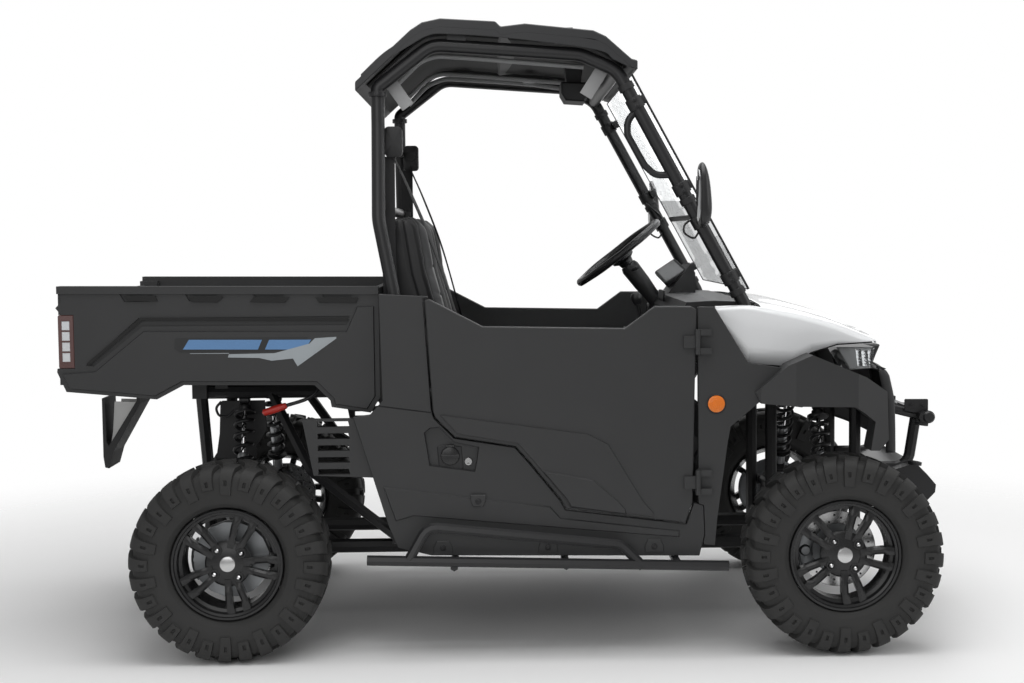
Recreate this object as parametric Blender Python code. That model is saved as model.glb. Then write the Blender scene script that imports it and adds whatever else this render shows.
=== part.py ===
"""Side by side utility vehicle with a tipping cargo bed, two half doors and a tube cage.

Frame: metres, +X forward, +Y to the vehicle's left, +Z up, origin on the ground
under the middle of the overall length. Every station below follows from the
lengths, heights and half widths named here.
"""

import math

import bmesh
import bpy
from mathutils import Matrix, Vector

# Lengths along X, in order from the tail to the nose
rear_overhang = 0.560
axle_to_cab = 0.497
cab_panel_length = 0.150
door_length = 0.879
door_to_axle = 0.478
front_overhang = 0.419

# Heights
sill_height = 0.322
door_base_height = 0.433
door_height = 0.740
roof_top_height = 2.079
roof_drop = 0.201
cowl_height = 1.162
frame_rail_height = 0.275
sill_rail_height = 0.375
upper_rail_height = 0.845
bed_floor_rise = 0.057
bed_floor_height = upper_rail_height + bed_floor_rise
bed_depth = 0.324
bed_rail_height = bed_floor_height + bed_depth
bed_side_height = 0.426
seat_height = 0.860
seat_back_height = 1.455

# Half widths
bed_half = 0.645
cab_half = 0.700
door_half = 0.710
flare_half = 0.755
hood_half = 0.660
pillar_half = 0.600
roof_half = 0.640
glass_half = 0.565
fascia_half = 0.600
step_half = 0.760

# Walls and tubes
panel_wall = 0.028
door_wall = 0.034
bed_wall = 0.022
roof_wall = 0.030
shell_wall = 0.006
glass_wall = 0.005
cage_radius = 0.022
frame_radius = 0.021
rail_radius = 0.025
cross_radius = 0.018
step_radius = 0.017
arm_radius = 0.014

# Clearances
fit = 0.0004
door_gap = 0.006
overrun = 0.01

# Wheels
tyre_radius = 0.325
rim_radius = 0.183
rear_tyre_width = 0.270
front_tyre_width = 0.230
rear_tyre_outer = 0.800
front_tyre_outer = 0.785
lug_count = 18
wheel_steps = 2 * lug_count
lug_depth = 0.014
lug_widening = math.radians(0.6)
lug_slant = math.radians(2.6)
kingpin_half = 0.575

inner_pivot_half = 0.215
arm_post_reach = 0.150
floor_wall = 0.018
floor_height = sill_rail_height + cross_radius + fit + floor_wall
cage_foot_half = cab_half - panel_wall - cage_radius - fit

# Stations along X
overall_length = (
    rear_overhang + axle_to_cab + cab_panel_length + door_length + door_to_axle + front_overhang
)
tail_x = -overall_length / 2
rear_axle_x = tail_x + rear_overhang
cab_rear_x = rear_axle_x + axle_to_cab
door_rear_x = cab_rear_x + cab_panel_length
door_front_x = door_rear_x + door_length
front_axle_x = door_front_x + door_to_axle
nose_x = front_axle_x + front_overhang
axle_height = tyre_radius * math.cos(math.pi / wheel_steps - lug_widening - lug_slant)

SIDES = ((-1, "right"), (1, "left"))

merge_distance = 2e-6

# Frame
rear_rail_half = 0.330
sill_rail_half = 0.600
frame_tail = 0.175
frame_nose = 0.030
bed_hinge_setback = 0.150
bed_hinge_height = upper_rail_height
cowl_post_drop = 0.297
cowl_post_height = cowl_height - cowl_post_drop
cowl_post_setback = 0.290
cowl_post_x = front_axle_x - cowl_post_setback
sill_lead = 0.016
sill_front_x = door_front_x + sill_lead
sill_inset = 0.047
sill_rear_x = cab_rear_x + sill_inset
bed_post_x = rear_axle_x - arm_post_reach
foot_rise = 0.100
cage_foot_rise = 0.015
cage_foot_height = upper_rail_height + cage_foot_rise
front_tower_height = 0.790
shock_bridge_half = 0.310
seat_rise = 0.200
brace_setback = 0.255
brace_x = cab_rear_x - brace_setback
brace_half = 0.480
brace_height = 0.585
brace_reach = 0.240
cross_sides = 6

# Cab floor, battery box and seats
toe_board_lead = 0.050
toe_board_x = door_front_x + toe_board_lead
seat_box_length = 0.300
seat_box_front_x = door_rear_x + seat_box_length
seat_box_half = 0.560
floor_half = 0.575
toe_rise = 0.380
toe_run = 0.120
cushion_depth = 0.110
seat_half = 0.250
seat_centre = 0.300
seat_cushion_shares = [
    (0.0, 0.0), (0.92, 0.0), (1.0, 0.25), (1.0, 0.72), (0.93, 1.0), (0.75, 0.92), (0.58, 1.0),
    (0.0, 1.0),
]
seat_back_shares = [
    (0.36, 0.0), (1.0, 0.0), (0.55, 0.66), (0.42, 0.95), (0.28, 1.0), (0.06, 1.0), (0.0, 0.93),
    (0.06, 0.50),
]
seat_round = 0.020
seat_overhang = 0.060
seat_back_inset = 0.020
seat_back_rear_x = cab_rear_x + seat_back_inset
seat_back_depth = 0.240
cushion_inset = 0.070
cushion_rear_x = cab_rear_x + cushion_inset

# Drives, wishbones and dampers
drive_rise = 0.040
drive_foot_half = 0.045
motor_size = (0.160, 0.150)
gearbox_size = (0.110, 0.110)
drive_round = 0.020
half_shaft_radius = 0.013
rear_carrier_half = 0.590
arm_drop = 0.105
arm_spread = 0.110
pivot_radius = 0.018
cradle_radius = 0.015
ball_joint_radius = 0.020
ball_joint_reach = 0.016
ball_joint_depth = 0.022
shock_eye = 0.022
shock_pin_radius = 0.010
front_shock_half = 0.440
rear_shock_half = 0.455
shock_radius = 0.016
spring_radius = 0.036
spring_shares = (0.25, 0.90)

# Tyres, rims, knuckles and brakes
# Columns: share of the carcass's height, share of its half width, share of the slant,
# and the shares of the lug's depth by which a lug stands out along the radius and to the side
tyre_rows = [
    (0.0, 0.80, 0.0, 0.0, 0.0), (0.38, 0.93, 0.5, 0.0, 0.2), (0.68, 0.92, 0.8, 0.4, 0.5),
    (0.90, 0.76, 1.0, 0.9, 0.6), (1.0, 0.07, -1.0, 1.0, 0.0),
]
lug_taper_share = 0.14
barrel_wall = 0.008
rim_inset = 0.030
spoke_face = 0.050
spoke_depth = 0.022
spoke_count = 5
hub_radius = 0.050
bore_radius = 0.016
spoke_lean = math.radians(11)
spoke_root_share = 0.8
spoke_root_spread = 2
spoke_half = 0.011
knuckle_half = 0.028
knuckle_sweep = math.hypot(knuckle_half, ball_joint_depth)
knuckle_round = 0.006
brake_radius = 0.125
brake_wall = 0.004
brake_gap = 0.020

# Cab side panels, doors and fenders; each outline is in shares of the rectangle that holds it
side_panel_shares = [
    (0.078, 1.0), (0.216, 0.989), (0.295, 0.720), (0.912, 0.330), (0.965, 0.205), (0.997, 0.190),
    (1.0, 0.080), (0.985, 0.0), (0.218, 0.014), (0.122, 0.045), (0.096, 0.128), (0.058, 0.293),
    (0.0, 0.540), (0.047, 0.547), (0.084, 0.600),
]
side_panel_tail = 0.088
side_panel_top = 1.191
panel_seam = 0.010
panel_round = 0.003
pocket_shares = [
    (0.216, 0.500), (0.246, 0.505), (0.288, 0.447), (0.360, 0.425), (0.354, 0.368),
    (0.347, 0.325), (0.213, 0.350), (0.198, 0.480),
]
sill_step_shares = [
    (0.072, 0.288), (0.562, 0.204), (0.592, 0.160), (0.935, 0.106), (0.935, 0.062), (0.838, 0.072),
    (0.170, 0.155), (0.112, 0.134),
]
seam_shares = [(0.05, 0.588), (0.25, 0.552), (0.25, 0.547), (0.05, 0.583)]
louvre_length = 0.168
louvre_lap = 0.082
louvre_wall = 0.012
louvre_foot = 0.590
louvre_height = 0.195
louvre_slots = 5
louvre_shares = [(0.0, 1.0), (0.75, 1.0), (1.0, 0.0), (0.14, 0.05)]
louvre_slot_shares = [(0.20, 0.32), (0.62, 0.32), (0.60, 0.80), (0.20, 0.80)]
door_shares = [
    (0.0, 0.995), (0.015, 1.0), (0.212, 0.877), (0.738, 0.862), (0.848, 0.957), (0.983, 0.955),
    (1.0, 0.942), (0.984, 0.092), (0.958, 0.0), (0.515, 0.069), (0.497, 0.109), (0.379, 0.282),
    (0.329, 0.349), (0.105, 0.393), (0.033, 0.480), (0.025, 0.511),
]
relief_rise = 0.006
door_relief_shares = [
    (0.040, 0.500), (0.600, 0.405), (0.676, 0.358), (0.803, 0.104), (0.845, 0.046), (0.845, 0.024),
    (0.522, 0.076), (0.503, 0.116), (0.385, 0.289), (0.335, 0.357), (0.112, 0.402),
]
door_step_shares = [
    (0.420, 0.246), (0.616, 0.201), (0.709, 0.105), (0.738, 0.066), (0.738, 0.040), (0.530, 0.076),
    (0.512, 0.114),
]
hinge_height_shares = (0.18, 0.80)
hinge_length = 0.040
hinge_radius = 0.009
leaf_length = 0.045
hinge_x = door_front_x + door_gap / 2
hinge_half = door_half + hinge_radius + fit
fender_shares = [
    (0.0, 1.0), (0.085, 0.999), (0.257, 0.765), (0.494, 0.733), (0.326, 0.607), (0.166, 0.499),
    (0.150, 0.427), (0.096, 0.114), (0.083, 0.0), (0.030, 0.004), (0.018, 0.053),
    (0.016, 0.156), (0.0, 0.176),
]
flare_shares = [
    (0.0, 0.505), (-0.040, 0.620), (0.200, 0.900), (0.376, 1.0), (0.794, 0.764), (0.984, 0.598),
    (1.0, 0.100), (0.916, 0.0), (0.834, 0.012), (0.876, 0.300), (0.783, 0.398), (0.701, 0.469),
    (0.266, 0.481),
]
flare_plan_shares = [
    (-0.1, 0.0), (-0.1, 0.30), (0.0, 0.62), (0.25, 1.0), (0.72, 1.0), (1.0, 0.10), (1.0, -0.60),
    (0.60, -0.30),
]
panel_gap = 0.002
bracket_rise = 0.120
fender_foot = 0.356
fender_top = 1.137
fender_seam = 0.007
fender_rear_x = door_front_x + fender_seam
fender_lead = 0.159
fender_front_x = front_axle_x + fender_lead
flare_lag = 0.269
flare_rear_x = front_axle_x - flare_lag
flare_front_x = fender_front_x
flare_foot = 0.660
flare_top = 0.980

# Hood, fascia, lamps and bumper
hood_lead = 0.069
hood_rear_x = door_front_x + hood_lead
hood_reach = 0.140
hood_front_x = front_axle_x + hood_reach
# Columns: share of the hood's length, top height, shoulder height, seam height
hood_section_shares = [
    (0.0, 1.0, 0.88, 0.76), (0.20, 1.0, 0.90, -0.10), (0.47, 0.88, 0.74, -0.16),
    (0.58, 0.80, 0.66, 0.07), (0.75, 0.66, 0.52, 0.20), (1.0, 0.35, 0.24, 0.22),
]
hood_drop = 0.195
hood_nose_half = 0.560
hood_crown_share = 0.90
cowl_half = 0.630
windscreen_lead = 0.222
windscreen_foot_x = door_front_x + windscreen_lead
fascia_rear_x = hood_front_x + panel_gap
fascia_lead = 0.245
fascia_front_x = front_axle_x + fascia_lead
fascia_foot = 0.640
fascia_top = 0.985
fascia_wall = 0.030
grille_body_share = 0.70
wing_depth_share = 0.45
wing_height_share = 0.92
fascia_shares = [
    (0.0, 1.0), (0.60, 1.0), (0.62, 0.85), (0.80, 0.80), (0.96, 0.50), (1.0, 0.0), (0.60, 0.0),
    (0.50, 0.60), (0.0, 0.75),
]
grille_rows = 5
grille_half = 0.300
grille_slot = 0.030
lamp_shares = [(0.0, 1.0), (1.0, 0.98), (0.93, 0.06), (0.35, 0.0)]
lamp_lead = 0.012
lamp_rear_x = front_axle_x + lamp_lead
lamp_front_x = fascia_rear_x - fit
lamp_foot = 0.913
lamp_top = 0.990
lamp_inner_half = 0.360
lamp_outer_half = 0.545
guard_radius = 0.020
guard_setback = 0.030
guard_bend = 0.050
stay_radius = 0.016
stay_rise = 0.030
stay_spread_share = 1.3
stay_tab = 0.110
guard_half = 0.330
guard_top = 0.725
guard_base = 0.535
guard_lean = 0.030
nose_shares = [
    (0.0, 0.80), (0.55, 1.0), (0.80, 0.70), (1.0, 0.42), (0.98, 0.22), (0.80, 0.0), (0.0, 0.30),
]
nose_depth = 0.160
nose_foot = 0.425
nose_top = 0.560
nose_half = 0.300

# Cargo bed, tailgate and plate bracket
bed_side_shares = [
    (0.017, 1.0), (1.0, 0.972), (1.0, 0.115), (0.970, 0.0), (0.849, 0.047), (0.845, 0.099),
    (0.797, 0.218), (0.391, 0.230), (0.307, 0.122), (0.027, 0.188), (0.0, 0.340),
    (0.017, 0.779), (0.0, 0.833), (0.017, 0.878),
]
bed_step_shares = [
    (0.010, 0.338), (0.117, 0.354), (0.270, 0.660), (0.896, 0.641), (0.931, 0.831), (0.990, 0.831),
    (0.990, 0.125), (0.962, 0.017), (0.857, 0.060), (0.853, 0.107), (0.803, 0.234), (0.387, 0.246),
    (0.303, 0.138), (0.036, 0.202),
]
bed_channel_shares = [
    (0.089, 0.392), (0.256, 0.749), (0.910, 0.749), (0.900, 0.679), (0.268, 0.686), (0.115, 0.382),
]
bed_window_shares = (0.251, 0.452, 0.661, 0.872)
bed_window_share = 0.052
bed_notch_shares = [(-1.0, 0.935), (1.0, 0.935), (0.72, 0.875), (-0.72, 0.875)]
bed_cap_shares = [(0.006, 1.0), (1.0, 0.972), (1.0, 0.912), (0.006, 0.942)]
bed_step = 0.007
bed_gap = 0.003
bed_front_x = cab_rear_x - bed_gap
tailgate_half = 0.555
tailgate_wall = 0.026
tailgate_gap = 0.006
bed_rail_width = 0.042
bed_rail_depth = 0.034
bed_hinge_x = rear_axle_x - bed_hinge_setback
bed_groove_count = 6
bed_groove_pitch = 0.180
bed_groove_width = 0.040
bed_groove_depth = 0.005
ear_reach = 0.038
post_length = 0.075
lamp_length = 0.058
tail_lamp_inner = 0.575
tail_lamp_rise = 0.055
tail_lamp_foot = bed_floor_height + tail_lamp_rise
tail_lamp_height = 0.175
tailgate_axis_x = tail_x + tailgate_gap + tailgate_wall / 2
tailgate_axis_height = bed_floor_height + tailgate_wall / 2
tailgate_pin_radius = 0.007
gate_recess_shares = [
    (0.08, 0.22), (0.92, 0.22), (0.94, 0.30), (0.94, 0.62), (0.86, 0.76), (0.14, 0.76), (0.06, 0.62),
    (0.06, 0.30),
]
plate_shares = [
    (0.36, 1.0), (1.0, 1.0), (1.0, 0.66), (0.27, 0.17), (0.14, 0.0), (0.04, 0.01), (0.0, 0.12),
    (0.0, 0.72), (0.07, 0.72), (0.09, 0.27), (0.15, 0.23), (0.91, 0.69), (0.91, 0.96), (0.36, 0.96),
]
plate_depth = 0.140
plate_half = 0.085
plate_drop = 0.357

# Cage, roof and windscreen
roof_shares = [
    (0.0, 0.0), (0.198, 0.821), (0.239, 0.940), (0.303, 1.0), (0.498, 0.945), (0.516, 0.861),
    (0.602, 0.905), (0.844, 0.786), (0.888, 0.692), (0.978, 0.328), (1.0, 0.299),
]
roof_tail = 0.068
roof_rear_x = cab_rear_x - roof_tail
roof_setback = 0.179
roof_front_x = door_front_x - roof_setback
roof_pad_shares = (0.36, 0.74)
pad_half = 0.030
pad_depth = 0.050
rail_shares = [(0.27, 0.60), (0.80, 0.42), (0.93, 0.16)]
pillar_foot_height = 1.136
pillar_lead = 0.175
pillar_foot_x = door_front_x + pillar_lead
hoop_drop = 0.239
hoop_height = roof_top_height - hoop_drop
handle_reach = 0.058
# Columns: share of the pillar from its foot, reach into the cab
handle_stops = (
    (0.90, 0.0), (0.86, handle_reach), (0.66, handle_reach), (0.56, 0.0),
)
handle_radius = 0.011
handle_bend = 0.030
hoop_offset = 0.002
hoop_bend = 0.150
rail_bend = 0.090
hoop_bend_share = 0.37
hoop_bend_height = side_panel_top + hoop_bend_share * (hoop_height - side_panel_top)
rail_half = pillar_half
cross_bar_shares = (0.12, 0.90)
clamp_shares = (0.12, 0.50, 0.86)
clamp_half = 0.020
tab_half = 0.015
clamp_wall = 0.005
glass_standoff = 0.016
glass_foot_share = 0.045
glass_split_share = 0.36
glass_top_share = 0.96

# Dashboard, steering, mirrors, step bars and hitch
dash_shares = [
    (0.0, 0.80), (0.08, 0.98), (0.45, 1.0), (1.0, 0.97), (0.95, 0.70), (0.75, 0.0), (0.30, 0.0),
    (0.10, 0.35),
]
dash_overhang = 0.035
dash_rear_x = door_front_x - dash_overhang
dash_drop = 0.230
dash_half = pillar_half - cage_radius - fit
pod_shares = [(0.0, 0.0), (0.85, 1.0), (1.0, 0.80), (1.0, 0.0)]
pod_length = 0.150
pod_sink = 0.060
pod_rise = 0.095
pod_half = 0.110
steering_y = 0.330
steering_setback = 0.170
steering_x = door_front_x - steering_setback
steering_height = 1.305
steering_radius = 0.187
steering_grip = 0.014
column_angle = math.radians(-52.4)
column_length = 0.270
column_radius = 0.022
spoke_angle_degrees = (0, 180, 270)
wheel_dish = 0.045
wheel_spoke_radius = 0.010
mirror_shares = [
    (0.0, 0.55), (0.25, 0.95), (0.45, 1.0), (0.8, 0.75), (1.0, 0.35), (0.9, 0.05), (0.5, 0.0),
]
mirror_setback = 0.012
mirror_x = door_front_x - mirror_setback
mirror_depth = 0.048
mirror_foot = 1.389
mirror_height = 0.215
mirror_inner_half = 0.730
mirror_width = 0.130
mirror_arm_share = 0.36
mirror_arm_radius = 0.006
mirror_arm_bend = 0.030
mirror_round = 0.010
step_tail = 0.045
step_lead = 0.096
step_bend = 0.050
loop_rear_foot = 0.090
loop_rear_crown = 0.150
loop_rear_height = 0.437
loop_front_foot = 0.181
loop_front_crown = 0.250
loop_front_height = 0.370
step_rear_height = 0.333
step_front_height = 0.300
bracket_radius = 0.0135
step_bracket_shares = (0.24, 0.55, 0.86)
receiver_half = 0.030
receiver_length = 0.230
tongue_half = 0.021
ball_radius = 0.025
# Columns: radius and height above the receiver's top, as shares of the ball's radius
ball_sides = 16
ball_shares = [(0.48, -1.2), (0.48, 0.4), (0.80, 0.72), (1.0, 1.36), (0.80, 2.0), (0.28, 2.26)]

# Colours, roughness and metallic value of each material
CHARCOAL = ("charcoal_plastic", (0.035, 0.036, 0.037), 0.5, 0.0)
WHITE = ("white_paint", (0.80, 0.81, 0.82), 0.2, 0.0)
BLACK_STEEL = ("black_steel", (0.022, 0.022, 0.023), 0.42, 0.6)
BLACK_PLASTIC = ("black_plastic", (0.02, 0.02, 0.021), 0.55, 0.0)
TYRE_RUBBER = ("tyre_rubber", (0.022, 0.022, 0.021), 0.85, 0.0)
RIM_BLACK = ("rim_black", (0.015, 0.015, 0.016), 0.3, 0.7)
SEAT_VINYL = ("seat_vinyl", (0.03, 0.03, 0.031), 0.6, 0.0)
CLEAR = ("clear_plastic", (0.75, 0.80, 0.82), 0.05, 0.0)
LAMP = ("lamp_lens", (0.70, 0.74, 0.76), 0.08, 0.0)
RED_LAMP = ("red_lens", (0.45, 0.05, 0.04), 0.15, 0.0)
CAST_ALLOY = ("cast_alloy", (0.42, 0.43, 0.44), 0.4, 0.9)
BARE_STEEL = ("bare_steel", (0.55, 0.56, 0.57), 0.3, 1.0)


# Shape helpers

def clear_scene():
    for obj in list(bpy.data.objects):
        bpy.data.objects.remove(obj)


def material(finish):
    name, colour, roughness, metallic = finish
    found = bpy.data.materials.get(name)
    if found:
        return found
    made = bpy.data.materials.new(name)
    made.use_nodes = True
    shader = made.node_tree.nodes["Principled BSDF"]
    shader.inputs["Base Color"].default_value = (*colour, 1)
    shader.inputs["Roughness"].default_value = roughness
    shader.inputs["Metallic"].default_value = metallic
    return made


def solid_of(shape):
    """An object that holds this bmesh, its faces pointing out."""
    bmesh.ops.recalc_face_normals(shape, faces=shape.faces)
    mesh = bpy.data.meshes.new("solid")
    shape.to_mesh(mesh)
    shape.free()
    obj = bpy.data.objects.new("solid", mesh)
    bpy.context.scene.collection.objects.link(obj)
    return obj


def bake(obj):
    """The object with its modifiers applied."""
    graph = bpy.context.evaluated_depsgraph_get()
    mesh = bpy.data.meshes.new_from_object(obj.evaluated_get(graph))
    obj.modifiers.clear()
    obj.data = mesh
    return obj


def combine(base, others, operation):
    """The base joined with, cut by or kept within the others, which are used up."""
    for other in others:
        step = base.modifiers.new("combine", "BOOLEAN")
        step.operation = operation
        step.object = other
        bake(base)
        bpy.data.objects.remove(other)
    return base


def join(base, *others):
    return combine(base, others, "UNION")


def cut(base, *others):
    return combine(base, others, "DIFFERENCE")


def within(base, *others):
    return combine(base, others, "INTERSECT")


def bevel(obj, width, segments=1, least_angle=math.radians(40)):
    step = obj.modifiers.new("bevel", "BEVEL")
    step.width = width
    step.segments = segments
    step.limit_method = "ANGLE"
    step.angle_limit = least_angle
    return bake(obj)


def loft(sections, closed=False):
    """Equal loops of points bridged in order, with flat ends unless the last meets the first."""
    shape = bmesh.new()
    rings = [[shape.verts.new(point) for point in loop] for loop in sections]
    pairs = list(zip(rings, rings[1:]))
    if closed:
        pairs.append((rings[-1], rings[0]))
    for low, high in pairs:
        for at in range(len(low)):
            after = (at + 1) % len(low)
            shape.faces.new((low[at], low[after], high[after], high[at]))
    if not closed:
        shape.faces.new(rings[0])
        shape.faces.new(rings[-1])
    return solid_of(shape)


def shell(outer, inner):
    """Two grids of points with the same rows and columns, closed round their borders."""
    shape = bmesh.new()
    skins = [[[shape.verts.new(point) for point in row] for row in grid] for grid in (outer, inner)]
    rows = len(outer)
    columns = len(outer[0])
    for grid in skins:
        for r in range(rows - 1):
            for c in range(columns - 1):
                shape.faces.new((
                    grid[r][c], grid[r][c + 1], grid[r + 1][c + 1], grid[r + 1][c],
                ))
    border = [(0, c) for c in range(columns)] + [(r, columns - 1) for r in range(1, rows)]
    border += [(rows - 1, c) for c in range(columns - 2, -1, -1)]
    border += [(r, 0) for r in range(rows - 2, 0, -1)]
    for (r, c), (s, d) in zip(border, border[1:] + border[:1]):
        shape.faces.new((skins[0][r][c], skins[0][s][d], skins[1][s][d], skins[1][r][c]))
    bmesh.ops.triangulate(shape, faces=shape.faces)
    return solid_of(shape)


def prism(outline, low, high, axis="Y"):
    """An outline extruded from low to high along an axis, its points on the other two in order."""
    place = {
        "X": lambda a, b, along: (along, a, b),
        "Y": lambda a, b, along: (a, along, b),
        "Z": lambda a, b, along: (a, b, along),
    }[axis]
    return loft([[place(a, b, along) for a, b in outline] for along in (low, high)])


def box(x0, x1, y0, y1, z0, z1):
    return prism([(x0, z0), (x1, z0), (x1, z1), (x0, z1)], y0, y1)


def turned(profile, centre, steps):
    """A closed (radius, along) profile turned about the cross axis through the centre."""
    spin = Matrix.Rotation(-math.pi / 2, 4, "X")
    sections = []
    for step in range(steps):
        angle = 2 * math.pi * (step + 0.5) / steps
        ring = [
            Vector(centre) + spin @ Vector((r * math.sin(angle), -r * math.cos(angle), along))
            for r, along in profile
        ]
        sections.append(ring)
    return loft(sections, closed=True)


def rounded(points, bend, steps=4):
    """A path whose inner corners are arcs of the bend radius, as far as its legs allow."""
    path = [Vector(points[0])]
    for before, corner, after in zip(points, points[1:], points[2:]):
        corner = Vector(corner)
        inward = Vector(before) - corner
        outward = Vector(after) - corner
        angle = inward.angle(outward)
        if angle > math.radians(175):
            path.append(corner)
            continue
        reach = min(bend / math.tan(angle / 2), inward.length / 2, outward.length / 2)
        radius = reach * math.tan(angle / 2)
        toward = (inward.normalized() + outward.normalized()).normalized()
        centre = corner + toward * radius / math.sin(angle / 2)
        start = corner + inward.normalized() * reach - centre
        end = corner + outward.normalized() * reach - centre
        for step in range(steps + 1):
            path.append(centre + start.slerp(end, step / steps).normalized() * radius)
    path.append(Vector(points[-1]))
    return path


def tube(points, radius, bend=0.0, sides=8, steps=3):
    """A round bar along a path, its corners bent to the bend radius or else mitred."""
    path = rounded(points, bend, steps) if bend else [Vector(point) for point in points]
    legs = [(after - before).normalized() for before, after in zip(path, path[1:])]
    heading = legs[0]
    upright = Vector((0, 0, 1)) if abs(heading.z) < 0.9 else Vector((0, 1, 0))
    up = (upright - heading * heading.dot(upright)).normalized()
    sections = []
    for at, point in enumerate(path):
        before = legs[max(at - 1, 0)]
        after = legs[min(at, len(legs) - 1)]
        mean = (before + after).normalized()
        up = heading.rotation_difference(mean) @ up
        heading = mean
        side = heading.cross(up)
        normal = before.cross(after)
        ring = []
        for step in range(sides):
            angle = 2 * math.pi * step / sides
            spoke = up * math.cos(angle) + side * math.sin(angle)
            if normal.length > 1e-6:
                across = heading.cross(normal).normalized()
                spoke += across * spoke.dot(across) * (1 / before.dot(heading) - 1)
            ring.append(point + spoke * radius)
        sections.append(ring)
    return loft(sections)


def rod(start, end, radius, sides=8):
    return tube([start, end], radius, sides=sides)


def spread(shares, x0, x1, z0, z1):
    """The points of an outline given as shares of a rectangle."""
    return [(x0 + u * (x1 - x0), z0 + w * (z1 - z0)) for u, w in shares]


def area(outline):
    return sum(a[0] * b[1] - b[0] * a[1] for a, b in zip(outline, outline[1:] + outline[:1])) / 2


def grown(outline, distance):
    """The outline moved out by a distance on every side, its corners mitred."""
    turn = 1 if area(outline) > 0 else -1
    result = []
    count = len(outline)
    for at in range(count):
        before = Vector(outline[at - 1])
        here = Vector(outline[at])
        after = Vector(outline[(at + 1) % count])
        a = (here - before).normalized()
        b = (after - here).normalized()
        out_a = Vector((a.y, -a.x)) * turn
        out_b = Vector((b.y, -b.x)) * turn
        mitre = (out_a + out_b).normalized()
        result.append(tuple(here + mitre * distance / max(mitre.dot(out_a), 0.4)))
    return result


def both(low, high, side):
    """Two distances from the middle plane, put on one side of it in rising order."""
    return sorted((side * low, side * high))


def slab(outline, base, top, slope):
    """A raised panel whose edges slope in from its base plane to its top plane, both along Y."""
    return loft([
        [(x, base, z) for x, z in outline],
        [(x, top, z) for x, z in grown(outline, -slope)],
    ])


def finish(obj, name, look, pivot=(0, 0, 0)):
    """Names the piece, gives it its look and puts its origin on its pivot."""
    clean = bmesh.new()
    clean.from_mesh(obj.data)
    bmesh.ops.remove_doubles(clean, verts=clean.verts, dist=merge_distance)
    clean.to_mesh(obj.data)
    clean.free()
    obj.data.transform(Matrix.Translation(-Vector(pivot)))
    obj.location = pivot
    obj.name = name
    obj.data.name = name
    obj.data.materials.clear()
    obj.data.materials.append(material(look))
    obj.data.shade_smooth()
    obj.data.set_sharp_from_angle(angle=math.radians(35))
    return obj


def door_outline(shares):
    return spread(
        shares, door_rear_x, door_front_x, door_base_height, door_base_height + door_height
    )


# The frame

def build_frame():
    """Two low rails, sill rails, the rear bed rails and the towers, all of one round tube."""
    rail_rear_x = rear_axle_x - frame_tail
    tower_front_x = front_axle_x + arm_post_reach
    rail_front_x = tower_front_x + frame_nose
    tower_rear_x = front_axle_x - arm_post_reach
    rails = []
    bars = []
    crosses = []
    for side, hand in SIDES:
        low = side * inner_pivot_half
        top = side * rear_rail_half
        sill = side * sill_rail_half
        foot = side * cage_foot_half
        rails.append([
            (rail_rear_x, low, frame_rail_height), (rail_front_x, low, frame_rail_height),
        ])
        rails.append([
            (bed_post_x - rail_radius, top, upper_rail_height),
            (sill_rear_x + frame_radius, top, upper_rail_height),
        ])
        bars.append([
            (bed_post_x, low, frame_rail_height),
            (bed_post_x, low, axle_height + arm_drop + foot_rise),
            (bed_post_x, top, upper_rail_height),
        ])
        bars.append([
            (sill_rear_x, top, upper_rail_height),
            (sill_rear_x, top, sill_rail_height),
            (sill_rear_x, low, frame_rail_height),
        ])
        bars.append([
            (sill_rear_x, foot, cage_foot_height - fit),
            (sill_rear_x, foot, cage_foot_height - foot_rise),
            (sill_rear_x, sill, sill_rail_height),
            (sill_front_x, sill, sill_rail_height),
            (sill_front_x, sill, floor_height + seat_rise),
            (cowl_post_x, side * pillar_half, cowl_post_height),
        ])
        bars.append([
            (tower_rear_x, low, frame_rail_height), (tower_rear_x, low, front_tower_height),
            (tower_front_x, low, front_tower_height), (tower_front_x, low, frame_rail_height),
        ])
        crosses.append([
            (tower_rear_x, low, front_tower_height), (cowl_post_x, low, cowl_post_height),
        ])
        crosses.append([
            (sill_rear_x, sill, sill_rail_height), (brace_x, side * brace_half, brace_height),
            (bed_post_x + brace_reach, top, upper_rail_height),
        ])
        crosses.append([
            (sill_front_x, low, frame_rail_height),
            (sill_front_x, low, sill_rail_height + cross_radius / 2),
        ])
    for x, half, z in (
        (rail_rear_x + rail_radius, inner_pivot_half, frame_rail_height),
        (bed_post_x, rear_rail_half, upper_rail_height),
        (sill_rear_x, cage_foot_half, cage_foot_height - foot_rise),
        (sill_rear_x, sill_rail_half, sill_rail_height),
        (sill_front_x, sill_rail_half, sill_rail_height),
        (cowl_post_x, pillar_half, cowl_post_height),
        (tower_front_x, inner_pivot_half, front_tower_height),
        (front_axle_x, shock_bridge_half, front_tower_height),
        (rail_front_x - rail_radius, inner_pivot_half, frame_rail_height),
    ):
        crosses.append([(x, -half, z), (x, half, z)])
    solid = tube(rails[0], rail_radius, sides=8)
    join(solid, *[tube(path, rail_radius, sides=8) for path in rails[1:]])
    join(solid, *[tube(path, frame_radius, sides=8) for path in bars])
    join(solid, *[tube(path, cross_radius, sides=cross_sides) for path in crosses])
    return finish(solid, "frame", BLACK_STEEL)


# The cab floor, the battery box and the seats

def build_floor():
    low = floor_height - floor_wall
    toe_top = floor_height + toe_rise
    outline = [
        (seat_box_front_x + fit, floor_height),
        (seat_box_front_x + fit, low),
        (door_front_x - toe_run, low),
        (toe_board_x, toe_top - toe_run),
        (toe_board_x, toe_top),
        (toe_board_x - floor_wall, toe_top),
        (toe_board_x - floor_wall, toe_top - toe_run + floor_wall / 2),
        (door_front_x - toe_run - floor_wall / 2, floor_height),
    ]
    solid = prism(outline, -floor_half, floor_half)
    return finish(solid, "floor_pan", BLACK_PLASTIC)


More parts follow.
